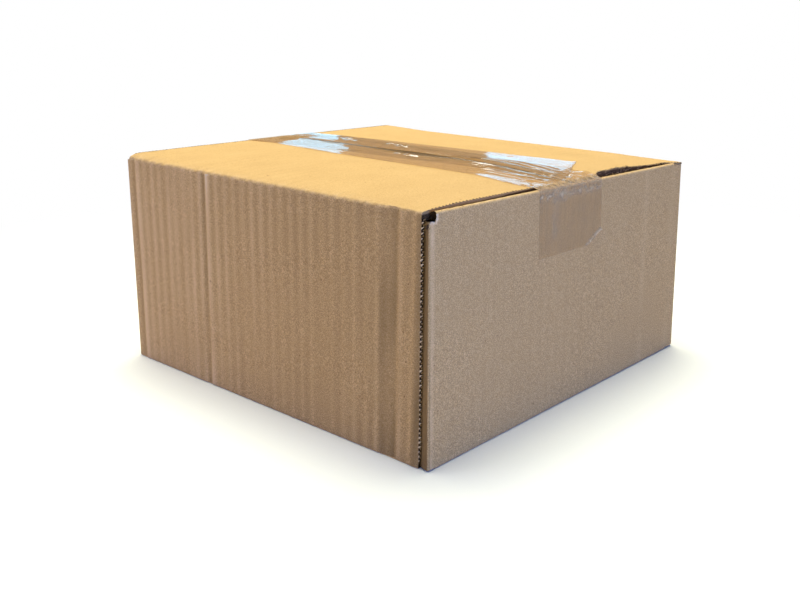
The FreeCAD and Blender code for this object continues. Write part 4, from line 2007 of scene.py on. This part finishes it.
@dataclass
class Studio:
    """The floor, the light and the camera.

    Attributes:
        floor_reach: half the floor's side, in metres.
        ambient: the light that comes from all round.
        lamps: the lamps.
        cards: what shows in the tape's gloss.
        ceiling_height: how high the dark ceiling hangs, in metres.
        ceiling_reach: half its side, in metres.
        stand: where the camera stands, in metres.
        yaw_deg: how far it is turned to the left, below 0.
        pitch_deg: how far it looks down, below 0.
        roll_deg: how far it is tipped over.
        lens: its focal length, in millimetres, on a sensor 36 mm wide.
    """

    floor_reach: float = 6.0
    ambient: tuple = tint(0.09, 0.09, 0.10)
    lamps: tuple[Lamp, ...] = (
        Lamp("overhead", (-0.20, 0.15, 1.4), (0.0, 0.0, 0.1), (1.2, 1.2), 37.2, (1.0, 0.948, 0.668)),
        Lamp("front_fill", (-0.42, -0.66, 0.15), (-0.03, -0.1, 0.05), (0.45, 0.25), 1.78, (0.54, 0.55, 1.0)),
        Lamp("end_fill", (0.78, -0.16, 0.15), (0.1, 0.0, 0.05), (0.45, 0.25), 3.75, (0.255, 0.440, 1.0)),
    )
    cards: tuple[Card, ...] = (
        Card("left_wall_card", (-85.0, -85.0), (-48.2, -58.7), tint(0.75, 0.55, 0.34)),
        Card("left_sky_card", (-48.2, -58.7), (-47.7, -47.7), tint(1.15, 2.60, 4.00)),
        Card("glint_card", (-49.0, -49.0), (-42.2, -42.2), tint(11.0, 13.0, 14.0), foot=0.96, top=1.45),
        Card("dark_foot_card", (-47.7, -47.7), (-35.8, -35.8), tint(0.17, 0.13, 0.10), top=0.17),
        Card("dim_card", (-47.7, -47.7), (-35.8, -35.8), tint(0.44, 0.35, 0.28), foot=0.17),
        Card("right_sky_card", (-35.8, -35.8), (-28.6, -28.6), tint(1.30, 2.60, 4.10)),
        Card("warm_card", (-28.6, -28.6), (-5.0, -5.0), tint(0.80, 0.62, 0.42)),
    )

    ceiling_height: float = 1.6
    ceiling_reach: float = 2.1
    stand: tuple[float, float, float] = (0.3195, -0.3432, 0.1704)
    yaw_deg: float = -43.30
    pitch_deg: float = -16.91
    roll_deg: float = -0.73
    lens: float = 41.94

    def level_face(self, name: str, reach: float, z: float, upwards: bool = True) -> bpy.types.Mesh:
        """A level square face round the origin."""
        ring = [(-reach, -reach, z), (reach, -reach, z), (reach, reach, z), (-reach, reach, z)]
        return one_face(name, ring if upwards else [ring[0], *ring[:0:-1]])

    def floor(self) -> None:
        """Lays a pale floor that keeps the box's shadow and turns white away from it."""
        material, nodes = new_material("pale_floor")
        away = nodes.add("ShaderNodeVectorMath", {0: nodes.place()}, operation="LENGTH").outputs["Value"]
        seen = nodes.add("ShaderNodeLightPath").outputs["Is Camera Ray"]
        colour = nodes.mix(seen, tint(0.60, 0.54, 0.47), tint(0.88, 0.92, 1.00))
        board = nodes.add("ShaderNodeBsdfDiffuse", {0: colour})
        white = nodes.add("ShaderNodeEmission", {0: tint(1, 1, 1), 1: 1.0})
        fade = nodes.times(seen, nodes.between(away, 0.17, 0.48))
        nodes.surface(nodes.add("ShaderNodeMixShader", {0: fade, 1: board.outputs[0], 2: white.outputs[0]}))
        mesh = self.level_face("floor", self.floor_reach, -0.2 * MM)
        mesh.materials.append(material)
        linked("floor", mesh)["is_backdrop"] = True

    def ceiling(self) -> None:
        """Hangs a dark ceiling over the lamps, which shows only in the gloss of the tape's wrinkles."""
        mesh = self.level_face("ceiling", self.ceiling_reach, self.ceiling_height, False)
        show_in_gloss("ceiling", mesh, tint(0.22, 0.17, 0.11))

    def world(self) -> None:
        """Sets a soft grey surround that the camera and clear film see as white, and that mirrors see as a
        bright blue-white sky: a painted reflection that lights nothing.
        """
        world = bpy.data.worlds.new("studio")
        world.use_nodes = True
        bpy.context.scene.world = world
        world.node_tree.nodes.clear()
        nodes = Nodes(world.node_tree)
        path = nodes.add("ShaderNodeLightPath")
        seen = nodes.maths("MAXIMUM", path.outputs["Is Camera Ray"], path.outputs["Is Transmission Ray"])
        colour = nodes.mix(seen, self.ambient, tint(1, 1, 1))
        colour = nodes.mix(path.outputs["Is Glossy Ray"], colour, tint(1.35, 1.75, 2.15))
        light = nodes.add("ShaderNodeBackground", {0: colour, 1: 1.0})
        nodes.add("ShaderNodeOutputWorld", {0: light.outputs[0]})

    def camera(self) -> None:
        """Sets the camera where the photographer's stood, worked out from the box's corners."""
        yaw, pitch, roll = (math.radians(turn) for turn in (self.yaw_deg, self.pitch_deg, self.roll_deg))
        ahead = Vector((math.sin(yaw) * math.cos(pitch), math.cos(yaw) * math.cos(pitch), math.sin(pitch)))
        right = ahead.cross(Vector((0, 0, 1))).normalized()
        up = right.cross(ahead)
        level_right = right * math.cos(roll) + up * math.sin(roll)
        level_up = up * math.cos(roll) - right * math.sin(roll)
        turned = Matrix((level_right, level_up, -ahead)).transposed().to_4x4()
        data = bpy.data.cameras.new("camera")
        data.sensor_width = 36.0
        data.lens = self.lens
        data.clip_start = 0.01
        item = linked("camera", data)
        item.matrix_world = Matrix.Translation(self.stand) @ turned
        bpy.context.scene.camera = item

    def build(self) -> None:
        """Sets up the whole studio."""
        self.floor()
        self.world()
        self.camera()
        for lamp in self.lamps:
            lamp.build()
        for card in self.cards:
            card.build()
        self.ceiling()
        bpy.context.scene.view_settings.view_transform = "Standard"


def keep_piece(item: bpy.types.Object, slot: str, *nodes: str) -> None:
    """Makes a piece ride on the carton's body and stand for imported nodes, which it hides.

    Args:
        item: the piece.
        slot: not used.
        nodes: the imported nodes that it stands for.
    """
    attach(item, "root")
    if nodes:
        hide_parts(*nodes)
    log.info("%s: %d faces", item.name, len(item.data.polygons))


def corners(box: Sequence[Vector]) -> list[list[float]]:
    """A box as plain numbers."""
    return [list(map(float, corner)) for corner in box]


def main() -> None:
    """Builds the carton, its tape and the studio."""
    logging.basicConfig(level=logging.INFO, format="%(name)s %(message)s")
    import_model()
    packed = corners(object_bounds())
    low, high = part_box("carton")
    finishes = Finishes()
    carton = Carton(length=(high.x - low.x) / MM, width=(high.y - low.y) / MM,
                    height=high.z / MM - FLAPS_RISE)
    keep_piece(carton.build(finishes), "kraft_board", "carton")
    rows = (
        (PaperTeeth("joint_teeth", reach=1.75, width=1.15), carton.joint_cut(0.10, 0.0), finishes.highlit_frayed),
        (PaperTeeth("inner_joint_teeth", reach=1.5, width=1.0), carton.joint_cut(1.2, 0.98), finishes.teeth),
        # Painted shadow in the gaps between the flaps' liner teeth.
        (PaperTeeth("flap_shadow_notches", reach=2.2, width=1.3, thickness=0.10), carton.flap_shadow_notches(),
         finishes.notch),
        (PaperTeeth("flap_teeth"), carton.flap_cuts(), finishes.teeth))
    for teeth, lines, material in rows:
        keep_piece(teeth.build(lines, material), "kraft_board")
    for strip in (OverStrip(), UnderStrip()):
        keep_piece(strip.build(carton, finishes), "packing_tape", strip.node)
    base = BaseStrip()
    keep_piece(base.build(finishes), "packing_tape", base.node)
    Studio().build()
    {"cad": packed, "visual": corners(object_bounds())}


if __name__ == "__main__":
    main()
